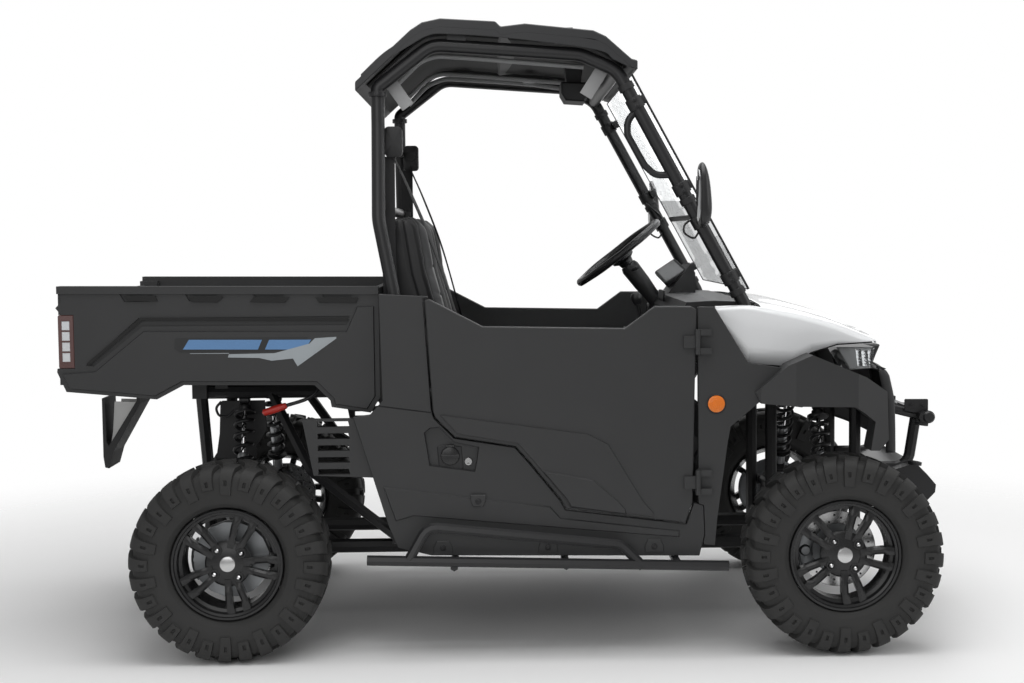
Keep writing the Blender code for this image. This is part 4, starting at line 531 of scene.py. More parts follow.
def build_wheel(place, side, hand):
    """A lugged tyre, a spoked rim, a domed cap, nuts in wells and a disc whose holes are near-black disks of
    painted shade, all about one axle.
    """
    name, body = "%s_%s" % (place, hand), "wheel_%s_%s" % (place, hand)
    node = "%s_tyre_%s" % (place, hand)
    low, high = (np.array(corner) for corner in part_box(node))
    centre, width, radius = (low + high) / 2, high[1] - low[1], (high[0] - low[0]) / 2
    s = sizes()
    grid = tyre_grid(centre, width, radius, s.rim_radius, s.lug_count, s.lug_depth)
    Pile().grid(grid, round_rows=True, flip=True).make(name + "_tyre", "Tyre Rubber", body, (node,),
                                                       sharp=38, shell=True)
    rim, cap, nuts, wells, disc, holes = (Pile() for _ in range(6))
    rim_piece(rim, centre, width, side, s.rim_radius)
    rim.make(name + "_rim", "Rim Paint", body, ("%s_rim_%s" % (place, hand),), sharp=30)
    face = side * (width / 2 - RIM_FACE_DEPTH)
    dome = np.array([(0.0, 0.01), (0.018, 0.0095), (0.0245, 0.0075), (0.0268, 0.004), (0.0268, 0.0)])
    dome[:, 1] = face + side * dome[:, 1]
    cap.turned(dome, centre, steps=44, flip=side < 0)
    cap.make(name + "_cap", "Machined Steel", body)
    nut = np.array([(0.0, 0.012), (0.004, 0.0115), (0.0072, 0.008), (0.0085, 0.0), (0.0085, -0.006)])
    nut[:, 1] = face + side * nut[:, 1]
    for number in range(4):
        angle = TURN * (number + 0.42) / 4
        seat = centre + np.array([0.056 * math.cos(angle), 0, 0.056 * math.sin(angle)])
        nuts.turned(nut, seat, steps=12, flip=side < 0)
        turned_ring(wells, seat + np.array([0, face, 0]), 0.0105, 0.0165, 0.007, steps=28)
    nuts.make(name + "_nuts", "Bright Plate", body)
    wells.make(name + "_nut_wells", "Rim Paint", body)
    middle = np.array([centre[0], side * DISC_OUT[place], centre[2]])
    turned_ring(disc, middle, 0.084, 0.1262, 0.0056)
    disc.make(name + "_brake_disc", "Machined Steel", body)
    # Painted shade: the disc's holes are not cut; near-black disks stand on the disc where they are.
    for number in range(30):
        angle = TURN * number / 30
        reach = (0.094, 0.104, 0.114)[number % 3]
        at = middle + np.array([reach * math.cos(angle), 0, reach * math.sin(angle)])
        turned_ring(holes, at, 0.0003, 0.0036, 0.0062, steps=10, soft=0.0001)
    holes.make(name + "_disc_holes", "Painted Recess Shade", body)


def build_wheels():
    """All four wheels."""
    for place in AXLE_X:
        for side, hand in SIDES:
            build_wheel(place, side, hand)


CALIPER_PARTS = (
    # depth, width, reach from the axle, distance from the disc's middle
    (0.046, 0.0145, 0.11, 0.0118), (0.046, 0.0145, 0.11, -0.0118), (0.008, 0.03, 0.132, 0.0),
)


def build_calipers():
    """Two jaws and a bridge swept through an arc over the disc's edge, with a round piston housing:
    point = axle + (reach + a) outward + b across, where a shrinks toward the arc's ends."""
    angle = np.linspace(math.radians(150), math.radians(212), 13)
    spoke = np.stack([np.cos(angle), 0 * angle, np.sin(angle)], 1)[:, None]
    ends = (1 - 0.25 * np.abs(np.linspace(-1, 1, 13)) ** 4)[:, None, None]
    for place, x in AXLE_X.items():
        for side, hand in SIDES:
            body = "steer_" + hand if place == "front" else "chassis"
            centre = np.array([x, side * DISC_OUT[place], AXLE_HEIGHT])
            pile = Pile()
            for deep, wide, reach, off in CALIPER_PARTS:
                section = rounded_rectangle(deep, wide, min(deep, wide) * 0.3, 3)[None]
                pile.bar(centre + (reach + section[..., :1] * ends) * spoke
                         + (section[..., 1:] + off) * np.array([0, 1, 0]))
            pile.turned(np.array([(0.0, 0.012), (0.014, 0.012), (0.017, 0.009), (0.019, 0.0)]) * [1, side],
                        centre + [-0.112, side * 0.019, 0], steps=28, flip=side < 0)
            pile.make("%s_caliper_%s" % (place, hand), "Cast Alloy", body)


# Dampers

def helix(low, high, radius, turns, steps):
    """Points at a radius about a line, turning evenly along it, flat at both ends."""
    low, high = np.asarray(low, float), np.asarray(high, float)
    axis = high - low
    a = np.cross(axis, (1, 0, 0))
    a /= np.linalg.norm(a)
    b = np.cross(axis, a)
    b /= np.linalg.norm(b)
    share = np.linspace(0, 1, steps)
    t = share * turns * TURN
    climb = step(0, 1, share) * 0.25 + share * 0.75
    return (low + axis * climb[:, None]
            + radius * (np.cos(t)[:, None] * a + np.sin(t)[:, None] * b))


DAMPER_ENDS = {
    # distance from the middle and height of the lower and the upper pin
    "front": ((0.44, 0.4402), (0.292, 0.7716)),
    "rear": ((0.455, 0.4402), (0.33, 0.8196)),
}
EYE_REACH = 0.022


def build_dampers():
    """Eyes, spring seats, a tube and a rod turned about the line between the pins, and a spring whose
    wire is a circle carried along a helix about the same line."""
    for place, ends in DAMPER_ENDS.items():
        for side, hand in SIDES:
            low, top = (np.array([AXLE_X[place], side * half, z]) for half, z in ends)
            start, end = low + [0, 0, EYE_REACH], top - [0, 0, EYE_REACH]
            length = np.linalg.norm(end - start)
            axis = (end - start) / length
            mounts, tube, rod, spring = (Pile() for _ in range(4))
            for at, lift in ((low, 0.004), (top, -0.004)):
                mounts.turned([(0.0, -0.018), (0.013, -0.018), (0.0155, -0.015), (0.0155, 0.015),
                               (0.013, 0.018), (0.0, 0.018)], at + [0, 0, lift], (1, 0, 0), 24)
            for share in (0.16, 0.93):
                mounts.turned([(0.0, -0.004), (0.035, -0.004), (0.0375, -0.001), (0.0375, 0.003),
                               (0.03, 0.005), (0.0, 0.005)], start + axis * length * share, axis, 40)
            mounts.turned([(0.0, 0.0), (0.019, 0.0), (0.021, 0.004), (0.021, 0.016), (0.018, 0.02),
                           (0.0, 0.02)], start + axis * length * 0.94, axis, 28)
            tube.turned([(0.0, 0.0), (0.017, 0.0), (0.019, 0.004), (0.019, length * 0.5),
                         (0.016, length * 0.52), (0.0, length * 0.52)], start, axis, 32)
            rod.turned([(0.0, 0.0), (0.0075, 0.0), (0.0075, length * 0.5), (0.0, length * 0.5)],
                       start + axis * length * 0.48, axis, 20)
            coil = helix(start + axis * length * 0.17, start + axis * length * 0.92, 0.03, 6.5, 180)
            spring.tube(coil, circle(0.0066, 8), up=axis)
            name = "%s_damper_%s" % (place, hand)
            mounts.make(name + "_mounts", "Powder Coat", "chassis", ("%s_shock_%s" % (place, hand),))
            tube.make(name + "_body", "Silver Tube")
            rod.make(name + "_rod", "Bright Plate")
            spring.make(name + "_spring", "Spring Coat")


# Cage

def bent(points, radius, steps=7):
    """A path whose corners become arcs of the bend radius, as far as their legs allow."""
    points = [np.asarray(point, float) for point in points]
    path = [points[0]]
    for before, corner, after in zip(points, points[1:], points[2:]):
        back, ahead = before - corner, after - corner
        a, b = np.linalg.norm(back), np.linalg.norm(ahead)
        back, ahead = back / a, ahead / b
        angle = math.acos(max(-1.0, min(1.0, float(back @ ahead))))
        if angle > math.radians(177):
            path.append(corner)
            continue
        reach = min(radius / math.tan(angle / 2), a * 0.48, b * 0.48)
        share = np.linspace(0, 1, steps)[:, None]
        first, last = corner + back * reach, corner + ahead * reach
        path += list((1 - share) ** 2 * first + 2 * share * (1 - share) * corner + share ** 2 * last)
    path.append(points[-1])
    return np.array(path)


PILLAR_FOOT = np.array((0.7695, 1.136))
PILLAR_TOP = np.array((0.3512, 1.9102))
PILLAR_NORMAL = np.array((0.8798, 0.4753))
PILLAR_ALONG = (PILLAR_TOP - PILLAR_FOOT) / np.linalg.norm(PILLAR_TOP - PILLAR_FOOT)
ALONG_PILLAR = np.array((PILLAR_ALONG[0], 0, PILLAR_ALONG[1]))
BEFORE_PILLAR = np.array((PILLAR_NORMAL[0], 0, PILLAR_NORMAL[1]))
CAGE_RADIUS = 0.022
RAIL_HALF = 0.6
HEADER_HALF = 0.577
RAIL_POINTS = ((-0.4325, 1.8404), (-0.4325, 1.862), (-0.2546, 1.9986), (0.2319, 1.9624),
               (0.3512, 1.9102), (0.7695, 1.136), (0.7825, 0.8864))
GRAB_POINTS = ((0.418, 1.786), (0.384, 1.745), (0.384, 1.7), (0.44, 1.6), (0.474, 1.568), (0.536, 1.568))
CLAMP_SHARES = (0.12, 0.5, 0.86)
COLLAR_SHARES = (0.06, 0.45, 0.93)
HOOP_X = -0.4325
POST_POINTS = ((-0.3875, 0.6496, 0.86), (-0.3875, 0.6496, 1.191), (HOOP_X, 0.6496, 1.4311),
               (HOOP_X, RAIL_HALF, 1.74), (HOOP_X, RAIL_HALF, 1.84))


def pillar(share, off=0.0, side=1, half=RAIL_HALF):
    """A point a distance in front of the pillar's centre line at a share of its length."""
    x, z = PILLAR_FOOT + (PILLAR_TOP - PILLAR_FOOT) * share + PILLAR_NORMAL * off
    return np.array((x, side * half, z))


def collar(pile, at, outer, half):
    """A ring with eased edges turned about the pillar's tube."""
    pile.turned([(CAGE_RADIUS, -half), (outer - 0.0013, -half), (outer, 0.0015 - half),
                 (outer, half - 0.0015), (outer - 0.0013, half), (CAGE_RADIUS, half)],
                at, ALONG_PILLAR, 30, closed=True)


def build_clamps(side, hand):
    """Collars on a pillar, and clamps with a tab that reaches the screen and two bolts each."""
    clamps, bolts = Pile(), Pile()
    for share in COLLAR_SHARES:
        collar(clamps, pillar(share, 0, side), 0.0268, 0.011)
    for share in CLAMP_SHARES:
        at = pillar(share, 0, side)
        collar(clamps, at, 0.0275, 0.02)
        foot = at - [0, side * 0.024, 0]
        clamps.tube([foot + BEFORE_PILLAR * reach for reach in (0.018, 0.026, 0.034, 0.0372)],
                    rounded_rectangle(0.03, 0.052, 0.004, 3), up=(0, 1, 0))
        for way in (-1, 1):
            seat = at + ALONG_PILLAR * way * 0.011 + [0, side * 0.027, 0]
            bolt_head(bolts, seat, (0, side, 0), 0.0055, 0.005)
    clamps.make("screen_clamps_" + hand, "Black Moulding")
    bolts.make("screen_clamp_bolts_" + hand, "Dark Bolt")


def build_rails():
    """A circle carried along each side rail, whose corners are arcs, and a grab handle on the right."""
    for side, hand in SIDES:
        rail = Pile()
        rail.tube(bent(upright(RAIL_POINTS, side * RAIL_HALF), 0.1), circle(CAGE_RADIUS, 22), up=(0, 1, 0))
        if hand == "right":
            rail.tube(bent(upright(GRAB_POINTS, -RAIL_HALF), 0.05), circle(0.0115, 14), up=(0, 1, 0))
        rail.make("cage_rail_" + hand, "Powder Coat", "chassis", ("cage_side_" + hand,))
        build_clamps(side, hand)


def build_hoop():
    """The rear hoop's bent posts with two cross tubes, and the header tube over the screen."""
    hoop, header = Pile(), Pile()
    for side, _ in SIDES:
        hoop.tube(bent(to_side(POST_POINTS, side), 0.16), circle(CAGE_RADIUS, 22), up=(0, 1, 0))
    for z, half in ((1.4682, 0.6436), (1.7091, 0.605)):
        hoop.tube([(HOOP_X, -half, z), (HOOP_X, half, z)], circle(0.018, 18))
    hoop.make("cage_hoop", "Powder Coat", "chassis", ("cage_rear_hoop",))
    x, z = PILLAR_TOP
    header.tube([(x, -HEADER_HALF, z), (x, HEADER_HALF, z)], circle(CAGE_RADIUS, 22))
    header.make("cage_header_tube", "Powder Coat", "chassis", ("cage_header",))


def build_collars():
    """Collars at the hoop's top and the pillars' feet, brackets behind the seats, and a wire clip."""
    joints, bolts = Pile(), Pile()
    for side, _ in SIDES:
        at = np.array((HOOP_X, side * RAIL_HALF, 1.8402))
        turned_ring(joints, at, CAGE_RADIUS, 0.0295, 0.016, (0, 0, 1), 28)
        bolt_head(bolts, at + [0, side * 0.0295, 0], (0, side, 0), 0.006, 0.004)
        joints.turned([(0.022, -0.012), (0.03, -0.012), (0.03, -0.006), (0.024, 0.01), (0.022, 0.01)],
                      (0.779, side * RAIL_HALF, 0.953), (0.052, 0, -0.998), 28, closed=True)
        lofted(joints, [(HOOP_X, 1.478), (-0.3913, 1.4749), (-0.3913, 1.44), (-0.38, 1.425), (-0.384, 1.4),
                        (-0.42, 1.4), (-0.44, 1.44)], (side * 0.545, side * 0.551), inset=0.001)
        clip = to_side([(0.556, 0.575, 1.5), (0.5914, 0.575, 1.4698), (0.6212, 0.572, 1.4364),
                        (0.595, 0.57, 1.42), (0.5744, 0.57, 1.4037), (0.574, 0.57, 1.3772),
                        (0.6043, 0.57, 1.3603), (0.62, 0.572, 1.378)], side)
        joints.tube(curve_through(clip, 8), circle(0.0035, 8), up=(0, 1, 0))
    joints.make("cage_collars", "Powder Coat")
    bolts.make("cage_bolts", "Dark Bolt")


def bolt_head(pile, at, axis, radius, height, sides=6):
    """A hexagonal head on a thin washer, its foot at a point of the surface."""
    at = np.asarray(at, float)
    pile.turned([(0.0, -0.002), (radius * 1.55, -0.002), (radius * 1.55, height * 0.18),
                 (radius * 1.4, height * 0.26), (0.0, height * 0.26)], at, axis, 18)
    pile.turned([(0.0, 0.0), (radius, 0.0), (radius, height * 0.85), (radius * 0.85, height),
                 (0.0, height)], at, axis, sides)


# Seats

SEAT_MIDDLE = 0.3
PAD_CAP = 0.012
PAD_VOXEL = 0.0075
CLOTH_FRAMES = 20


def swollen(name, source, cap, voxel):
    """A copy of a pad's solid, remeshed, swelled by cloth pressure and kept within a cap of its start."""
    obj = bpy.data.objects.new(name, source.data.copy())
    bpy.context.scene.collection.objects.link(obj)
    points = mesh_array(obj)
    middle = (points.min(0) + points.max(0)) / 2
    size = points.max(0) - points.min(0)
    store_points(obj, middle + (points - middle) * (1 - 2 * cap * 0.55 / size))
    weld = obj.modifiers.new("Weld", "WELD")
    weld.merge_threshold = 0.0002
    remesh = obj.modifiers.new("Remesh", "REMESH")
    remesh.mode = "VOXEL"
    remesh.voxel_size = voxel
    soften = obj.modifiers.new("Smooth", "SMOOTH")
    soften.factor = 0.5
    soften.iterations = 8
    bake_modifiers(obj)
    start = mesh_array(obj)
    cloth = obj.modifiers.new("Cloth", "CLOTH")
    cloth.settings.quality = 4
    cloth.settings.mass = 0.3
    cloth.settings.use_pressure = True
    cloth.settings.uniform_pressure_force = 4.0
    cloth.settings.tension_stiffness = 20
    cloth.settings.compression_stiffness = 20
    cloth.settings.effector_weights.gravity = 0.0
    cloth.collision_settings.use_collision = False
    cloth.collision_settings.use_self_collision = False
    scene = bpy.context.scene
    for number in range(1, CLOTH_FRAMES + 1):
        scene.frame_set(number)
    bake_modifiers(obj)
    scene.frame_set(1)
    moved = mesh_array(obj) - start
    length = np.linalg.norm(moved, axis=1)[:, None]
    moved *= np.minimum(1, cap / np.maximum(length, 1e-9))
    store_points(obj, start + moved)
    relax = obj.modifiers.new("Relax", "SMOOTH")
    relax.factor = 0.5
    relax.iterations = 3
    bake_modifiers(obj)
    return obj


def bake_modifiers(obj):
    """Puts what the modifiers make into the mesh and takes them off."""
    bpy.context.view_layer.update()
    graph = bpy.context.evaluated_depsgraph_get()
    made = bpy.data.meshes.new_from_object(obj.evaluated_get(graph), depsgraph=graph)
    obj.modifiers.clear()
    obj.data = made


def mesh_array(obj, key="co"):
    """The places, or the normals, of a mesh's vertices as an array."""
    values = np.empty(len(obj.data.vertices) * 3)
    obj.data.vertices.foreach_get(key, values)
    return values.reshape(-1, 3)


def store_points(obj, points):
    """Moves a mesh's vertices to the places in an array."""
    obj.data.vertices.foreach_set("co", np.asarray(points, float).ravel())
    obj.data.update()


def groove(distance, width, depth):
    """A rounded channel: depth times a bell of the distance over the width."""
    return depth * np.exp(-(distance / width) ** 2)


def subdivide(obj):
    """Divides every face once."""
    surface = obj.modifiers.new("Subdivision", "SUBSURF")
    surface.levels = surface.render_levels = 1
    bake_modifiers(obj)


def draped(obj, path, off):
    """Each point of a path moved on to the surface of an object and a little off it."""
    out = []
    for point in path:
        _, place, normal, _ = obj.closest_point_on_mesh(Vector(point))
        out.append(np.array(place) + np.array(normal) * off)
    out = np.array(out)
    return out[np.r_[True, np.linalg.norm(np.diff(out, axis=0), axis=1) > 0.0015]]


def finish_pad(obj, name, body, node):
    """Names a pad, gives it its vinyl and hides the solid that it stands for."""
    obj.name = name
    obj.data.materials.clear()
    obj.data.materials.append(bpy.data.materials["Cushion Vinyl"])
    obj.data.shade_smooth()
    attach(obj, body)
    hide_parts(node)


def seat_cushion(middle):
    """A cushion with a sewn insert: each point moves along its normal by the crown and the bolster's
    rise, less the bells of the seam along the bolster and of the channels across the insert."""
    obj = swollen("seat_pad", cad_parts["seat_cushion_right"], PAD_CAP, PAD_VOXEL)
    subdivide(obj)
    points, normals = mesh_array(obj), mesh_array(obj, "normal")
    across, x = np.abs(points[:, 1] - middle), points[:, 0]
    top = step(0.8, 0.84, points[:, 2])
    crown = 0.01 * (1 - (across / 0.25) ** 2) * step(-0.36, -0.28, x) * (1 - step(0.0, 0.07, x)) * top
    bolster = 0.012 * step(0.165, 0.205, across) * (1 - step(0.225, 0.25, across)) * top
    dip = groove(across - 0.168, 0.0055, 0.007) * top
    inside = 1 - step(0.16, 0.17, across)
    for at in (-0.27, -0.18, -0.09, 0.0):
        dip = dip + groove(x - at, 0.005, 0.005) * inside * top
    points = points + normals * (crown + bolster - dip)[:, None]
    points[:, 2] = np.minimum(points[:, 2], 0.8725)
    store_points(obj, points)
    return obj


def seat_back(middle):
    """A back rest: each point moves along its normal by the bolster's rise, less the bells of the seam
    round the middle panel, of the channels across it and of the seam round the side."""
    obj = swollen("back_pad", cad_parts["seat_back_right"], PAD_CAP, PAD_VOXEL)
    subdivide(obj)
    points, normals = mesh_array(obj), mesh_array(obj, "normal")
    across, z = np.abs(points[:, 1] - middle), points[:, 2]
    front = step(0.25, 0.6, normals[:, 0])
    side = step(0.5, 0.8, np.abs(normals[:, 1]))
    bolster = 0.014 * step(0.15, 0.195, across) * (1 - step(0.22, 0.25, across)) * front
    dip = groove(across - 0.155, 0.0055, 0.007) * front
    inside = (1 - step(0.148, 0.158, across)) * front
    for at in (0.97, 1.07, 1.17, 1.27, 1.36):
        dip = dip + groove(z - at, 0.005, 0.005) * inside
    face = np.interp(z, (0.8604, 1.253, 1.425), (-0.1798, -0.2875, -0.3137))
    dip = dip + groove(points[:, 0] - (face - 0.05), 0.0045, 0.006) * side
    points = points + normals * (bolster - dip)[:, None]
    store_points(obj, points)
    return obj


def second(obj, name, shift):
    """The same pad moved across the cab."""
    twin = obj.copy()
    twin.data = obj.data.copy()
    twin.name = name
    bpy.context.scene.collection.objects.link(twin)
    store_points(twin, mesh_array(twin) + np.array([0, shift, 0]))
    return twin


def build_seats():
    """The four pads, piping laid on their edges, and a curved shell behind each back rest:
    its X is the outline's less a bulge that falls with the square of the distance from its middle."""
    cushion, back = seat_cushion(-SEAT_MIDDLE), seat_back(-SEAT_MIDDLE)
    twins = second(cushion, "cushion_twin", 2 * SEAT_MIDDLE), second(back, "back_twin", 2 * SEAT_MIDDLE)
    bead = circle(sizes().piping / 2, 8)
    for (side, hand), (cushion, back) in zip(SIDES, ((cushion, back), twins)):
        middle = side * SEAT_MIDDLE
        finish_pad(cushion, "seat_cushion_pad_" + hand, "chassis", "seat_cushion_" + hand)
        finish_pad(back, "seat_back_pad_" + hand, "chassis", "seat_back_" + hand)
        piping, shell = Pile(), Pile()
        for edge in (-1, 1):
            y = middle + edge * 0.252
            front = upright(((-0.186, 0.9), (-0.2835, 1.253), (-0.3097, 1.425), (-0.348, 1.462)), y)
            piping.tube(draped(back, curve_through(front, 14), 0.0008), bead)
            rim = upright(((-0.34, 0.866), (-0.2, 0.868), (-0.05, 0.866), (0.045, 0.858), (0.078, 0.83)), y)
            piping.tube(draped(cushion, curve_through(rim, 12), 0.0008), bead)
        top = [(-0.35, middle + edge, 1.462) for edge in (-0.245, -0.12, 0, 0.12, 0.245)]
        piping.tube(draped(back, curve_through(top, 10), 0.0008), bead)
        piping.make("seat_piping_" + hand, "Cushion Piping")
        outline = ((-0.4, 1.4), (-0.409, 1.3), (-0.403, 1.15), (-0.372, 0.99), (-0.345, 0.9))
        shell.grid([upright(outline, middle + s) - [0.003 + 0.006 * (1 - (s / 0.205) ** 2), 0, 0]
                    for s in np.linspace(-0.205, 0.205, 13)], flip=True)
        wall(shell.make("seat_shell_" + hand, "Black Moulding", shell=True), 0.004, 1.0)


# Belts

def webbing(pile, path, wide=0.046, thick=0.0016, up=(1, 0, 0)):
    """A flat strap carried along a path."""
    pile.tube(path, rounded_rectangle(wide, thick, thick * 0.48, 3), up=up)


def build_belts():
    """A shoulder strap from the reel on the hoop to the buckle between the seats, a lap strap and a
    strap down the hoop, each a flat section carried along a smooth path, with a reel and a buckle."""
    for side, hand in SIDES:
        straps, reels, buckles, press = (Pile() for _ in range(4))

        def path(points, steps):
            """A smooth path on this side"""
            return curve_through(to_side(points, side), steps)

        webbing(straps, path([(-0.392, 0.548, 1.65), (-0.335, 0.5, 1.52), (-0.262, 0.4, 1.33),
                              (-0.195, 0.26, 1.1), (-0.15, 0.115, 0.945)], 14))
        webbing(straps, path([(-0.15, 0.115, 0.945), (-0.13, 0.28, 0.895), (-0.15, 0.46, 0.893),
                              (-0.215, 0.553, 0.865), (-0.245, 0.566, 0.8)], 12), wide=0.044, up=(1, 0, 0.3))
        webbing(straps, path([(-0.405, 0.56, 1.64), (-0.405, 0.578, 1.3), (-0.392, 0.585, 0.99),
                              (-0.36, 0.58, 0.85)], 10), up=(0, 1, 0))
        straps.make("seat_belt_" + hand, "Webbing")
        reels.tube([(-0.386, side * y, 1.688) for y in (0.533, 0.537, 0.569, 0.573)],
                   sized(rounded_rectangle(0.058, 0.1, 0.014, 5), (0.86, 1, 1, 0.86)))
        turned_ring(reels, np.array([-0.386, side * 0.529, 1.695]), 0.0003, 0.02, 0.01, steps=28)
        reels.make("belt_reel_" + hand, "Black Moulding")
        buckles.tube(to_side([(-0.165, 0.06, 0.842), (-0.16, 0.07, 0.875), (-0.152, 0.1, 0.925)], side),
                     rounded_rectangle(0.02, 0.006, 0.002, 3), up=(1, 0, 0))
        buckles.tube(to_side([(-0.156, 0.088, 0.9), (-0.153, 0.098, 0.918), (-0.148, 0.12, 0.955)], side),
                     rounded_rectangle(0.036, 0.02, 0.006, 4), up=(1, 0, 0))
        buckles.make("belt_buckle_" + hand, "Black Moulding")
        press.tube(to_side([(-0.1478, 0.1205, 0.9558), (-0.147, 0.1225, 0.96)], side),
                   rounded_rectangle(0.024, 0.01, 0.003, 3), up=(1, 0, 0))
        press.make("belt_button_" + hand, "Red Grip")


# Hood

HOOD_STATIONS = np.array((
    # x, middle height, shoulder height, lower edge
    (0.6635, 1.1620, 1.1386, 1.1152), (0.7733, 1.1620, 1.1425, 0.9475), (0.9215, 1.1386, 1.1113, 0.9358),
    (0.9819, 1.1230, 1.0957, 0.9807), (1.0753, 1.0957, 1.0684, 1.0060), (1.2125, 1.0352, 1.0138, 1.0099),
))


HOOD_REAR, HOOD_SCREEN, HOOD_NOSE = 0.6635, 0.8165, 1.2125


def hood_half(x):
    """Half the hood's width, narrowing with the square of the distance from its rear end."""
    return 0.66 - 0.1 * ((x - 0.6635) / 0.549) ** 2


def smooth_between(x, xs, values, reach=0.02):
    """Straight lines between stations, averaged over a short reach so that corners are eased."""
    offsets = np.linspace(-reach, reach, 9)
    return np.mean([np.interp(x + off, xs, values) for off in offsets], axis=0)


def hood_rows(x):
    """Half a section from the lower edge over the shoulder's arc to the crowned middle."""
    mid, shoulder = (smooth_between(x, HOOD_STATIONS[:, 0], HOOD_STATIONS[:, k], 0.03) for k in (1, 2))
    low = np.interp(x, HOOD_STATIONS[:, 0], HOOD_STATIONS[:, 3])
    half = hood_half(x)
    drop = np.minimum(0.02, np.maximum(shoulder - low, 0.001) * 0.8)
    rows = [(half, low + (shoulder - drop - low) * share) for share in (0.0, 0.33, 0.66)]
    rows.append((half, shoulder - drop))
    knee = shoulder + (mid - shoulder) / 3
    inner = half * 0.9
    for t in np.linspace(0, 1, 9)[1:]:
        y = (1 - t) ** 2 * half + 2 * t * (1 - t) * (half - 0.004) + t ** 2 * inner
        z = (1 - t) ** 2 * (shoulder - drop) + 2 * t * (1 - t) * (shoulder + 0.002) + t ** 2 * knee
        rows.append((y, z))
    for s in np.r_[np.linspace(0.94, 0.7, 6), 0.665, 0.645, 0.625, 0.605, np.linspace(0.56, 0, 8)]:
        y = inner * s
        rise = 0.007 * (1 - step(0.6, 0.68, s)) * step(0.84, 0.93, x) * (1 - 0.6 * step(1.1, 1.2, x))
        rows.append((y, knee + (mid - knee) * (1 - s ** 2.2) + rise))
    return rows


def build_hood():
    """The top from the screen to the nose with a raised middle, and a strip along each fender:
    the section's rows, each a function of X, are joined across, with a folded lip at the nose."""
    pile, seam = Pile(), Pile()
    x = np.unique(np.r_[np.linspace(HOOD_SCREEN, 1.2095, 74), HOOD_STATIONS[2:5, 0], 1.2118, HOOD_NOSE])
    half = np.array([np.stack([x, -y, z], 1) for y, z in hood_rows(x)])
    sheet = np.vstack([half, half[::-1][1:] * [1, -1, 1]])
    lip, fold = (sheet[:, -1:] + np.array(shift) for shift in ((0.0018, 0, -0.0035), (0.0005, 0, -0.011)))
    pile.grid(np.concatenate([sheet, lip, fold], 1))
    for side, _ in SIDES:
        x = np.unique(np.r_[np.linspace(HOOD_REAR, HOOD_SCREEN, 24), HOOD_STATIONS[1, 0]])
        rows = [np.stack([x, side * np.maximum(y, 0.631), z], 1) for y, z in hood_rows(x)[:8]]
        pile.grid(rows, flip=side > 0)
        # Painted shade: a near-black tube along the gap under the hood's lower edge.
        x = np.linspace(0.8, 1.2, 40)
        low = np.interp(x, HOOD_STATIONS[:, 0], HOOD_STATIONS[:, 3])
        seam.tube(np.stack([x, side * (hood_half(x) - 0.006), low - 0.002], 1), circle(0.003, 6), up=(0, 1, 0))
    panel = pile.make("hood_panel", "White Gloss", "chassis", ("hood",), sharp=24, shell=True)
    wall(panel, 0.0035, weld=0.0006)
    seam.make("hood_gap_shade", "Painted Recess Shade")


# Lamps

def lofted(pile, outline, ways, inset=0.004):
    """An outline in X and Z carried across the vehicle: its ends shrink by the inset on each side."""
    outline = np.asarray(outline, float)
    middle = outline.mean(0)
    size = (outline.max(0) - outline.min(0)) / 2
    rings = []
    low, high = ways
    sense = 1 if high > low else -1
    for y, shrink in ((low, inset), (low + sense * inset, 0), (high - sense * inset, 0), (high, inset)):
        ring = middle + (outline - middle) * (1 - shrink / size)
        rings.append(np.stack([ring[:, 0], np.full(len(ring), y), ring[:, 1]], 1))
    return pile.bar(np.array(rings), sense < 0)


LAMP_OUTLINE = ((1.0845, 0.99), (1.2141, 0.9885), (1.205, 0.9176), (1.1299, 0.913))
LAMP_TRAY = (
    # outline in X and Z, outer end, inset
    (((1.092, 0.985), (1.15, 0.985), (1.158, 0.919), (1.133, 0.9175)), 0.538, 0.002),
    (((1.15, 0.9855), (1.206, 0.984), (1.2, 0.976), (1.152, 0.977)), 0.537, 0.002),
    (((1.15, 0.926), (1.196, 0.924), (1.197, 0.92), (1.15, 0.9185)), 0.537, 0.001),
)


def build_headlights():
    """A clear cover over two turned bowls (along = depth times share squared), a silver wedge of small
    facets on the side and a grey tray behind them."""
    for side, hand in SIDES:
        cover, back, bowls, eyes, wedge = (Pile() for _ in range(5))
        lofted(cover, LAMP_OUTLINE, (side * 0.362, side * 0.545), inset=0.005)
        cover.make("headlight_cover_" + hand, "Lamp Cover", "chassis", ("headlight_" + hand,))
        for outline, outer, inset in LAMP_TRAY:
            lofted(back, outline, (side * 0.368, side * outer), inset=inset)
        back.make("headlight_tray_" + hand, "Rib Grey")
        share = np.linspace(0, 1, 10)
        for y, size in ((0.41, 0.026), (0.478, 0.027)):
            profile = np.stack([0.004 + (size - 0.004) * share, 0.026 * share ** 2], 1)
            profile = np.vstack([profile, [(size + 0.003, 0.026), (size + 0.003, 0.0)]])
            bowls.turned(profile, (1.157, side * y, 0.951), (1, 0, 0), 32, flip=True)
            eyes.turned([(0.0, 0.018), (0.005, 0.016), (0.0075, 0.011), (0.0075, 0.0), (0.0, 0.0)],
                        (1.158, side * y, 0.951), (1, 0, 0), 20)
        for at in range(6):
            z, tail, tip = 0.978 - 0.0103 * at, 1.146 + 0.0012 * at, 1.2075 - 0.0012 * at
            for low, high, off in ((tail, tail + 0.022, 0.0), (tail + 0.0225, tail + 0.043, 0.003),
                                   (tail + 0.0435, tip, 0.001)):
                facet = ((low, z + 0.0045), (high, z + 0.0045), (high - 0.002, z - 0.0048),
                         (low + 0.002, z - 0.0048))
                out = 0.5385 - off - 0.0025 * (at % 2)
                wedge.bar(np.array([[(x, side * y, h) for (x, h), y in zip(facet, row)] for row in (
                    [0.516] * 4, [out - 0.003, out, out - 0.005, out - 0.001])]), side < 0)
        bowls.make("headlight_bowls_" + hand, "Lamp Silver")
        eyes.make("headlight_lenses_" + hand, "Lamp Block")
        wedge.make("headlight_wedge_" + hand, "Lamp Silver")


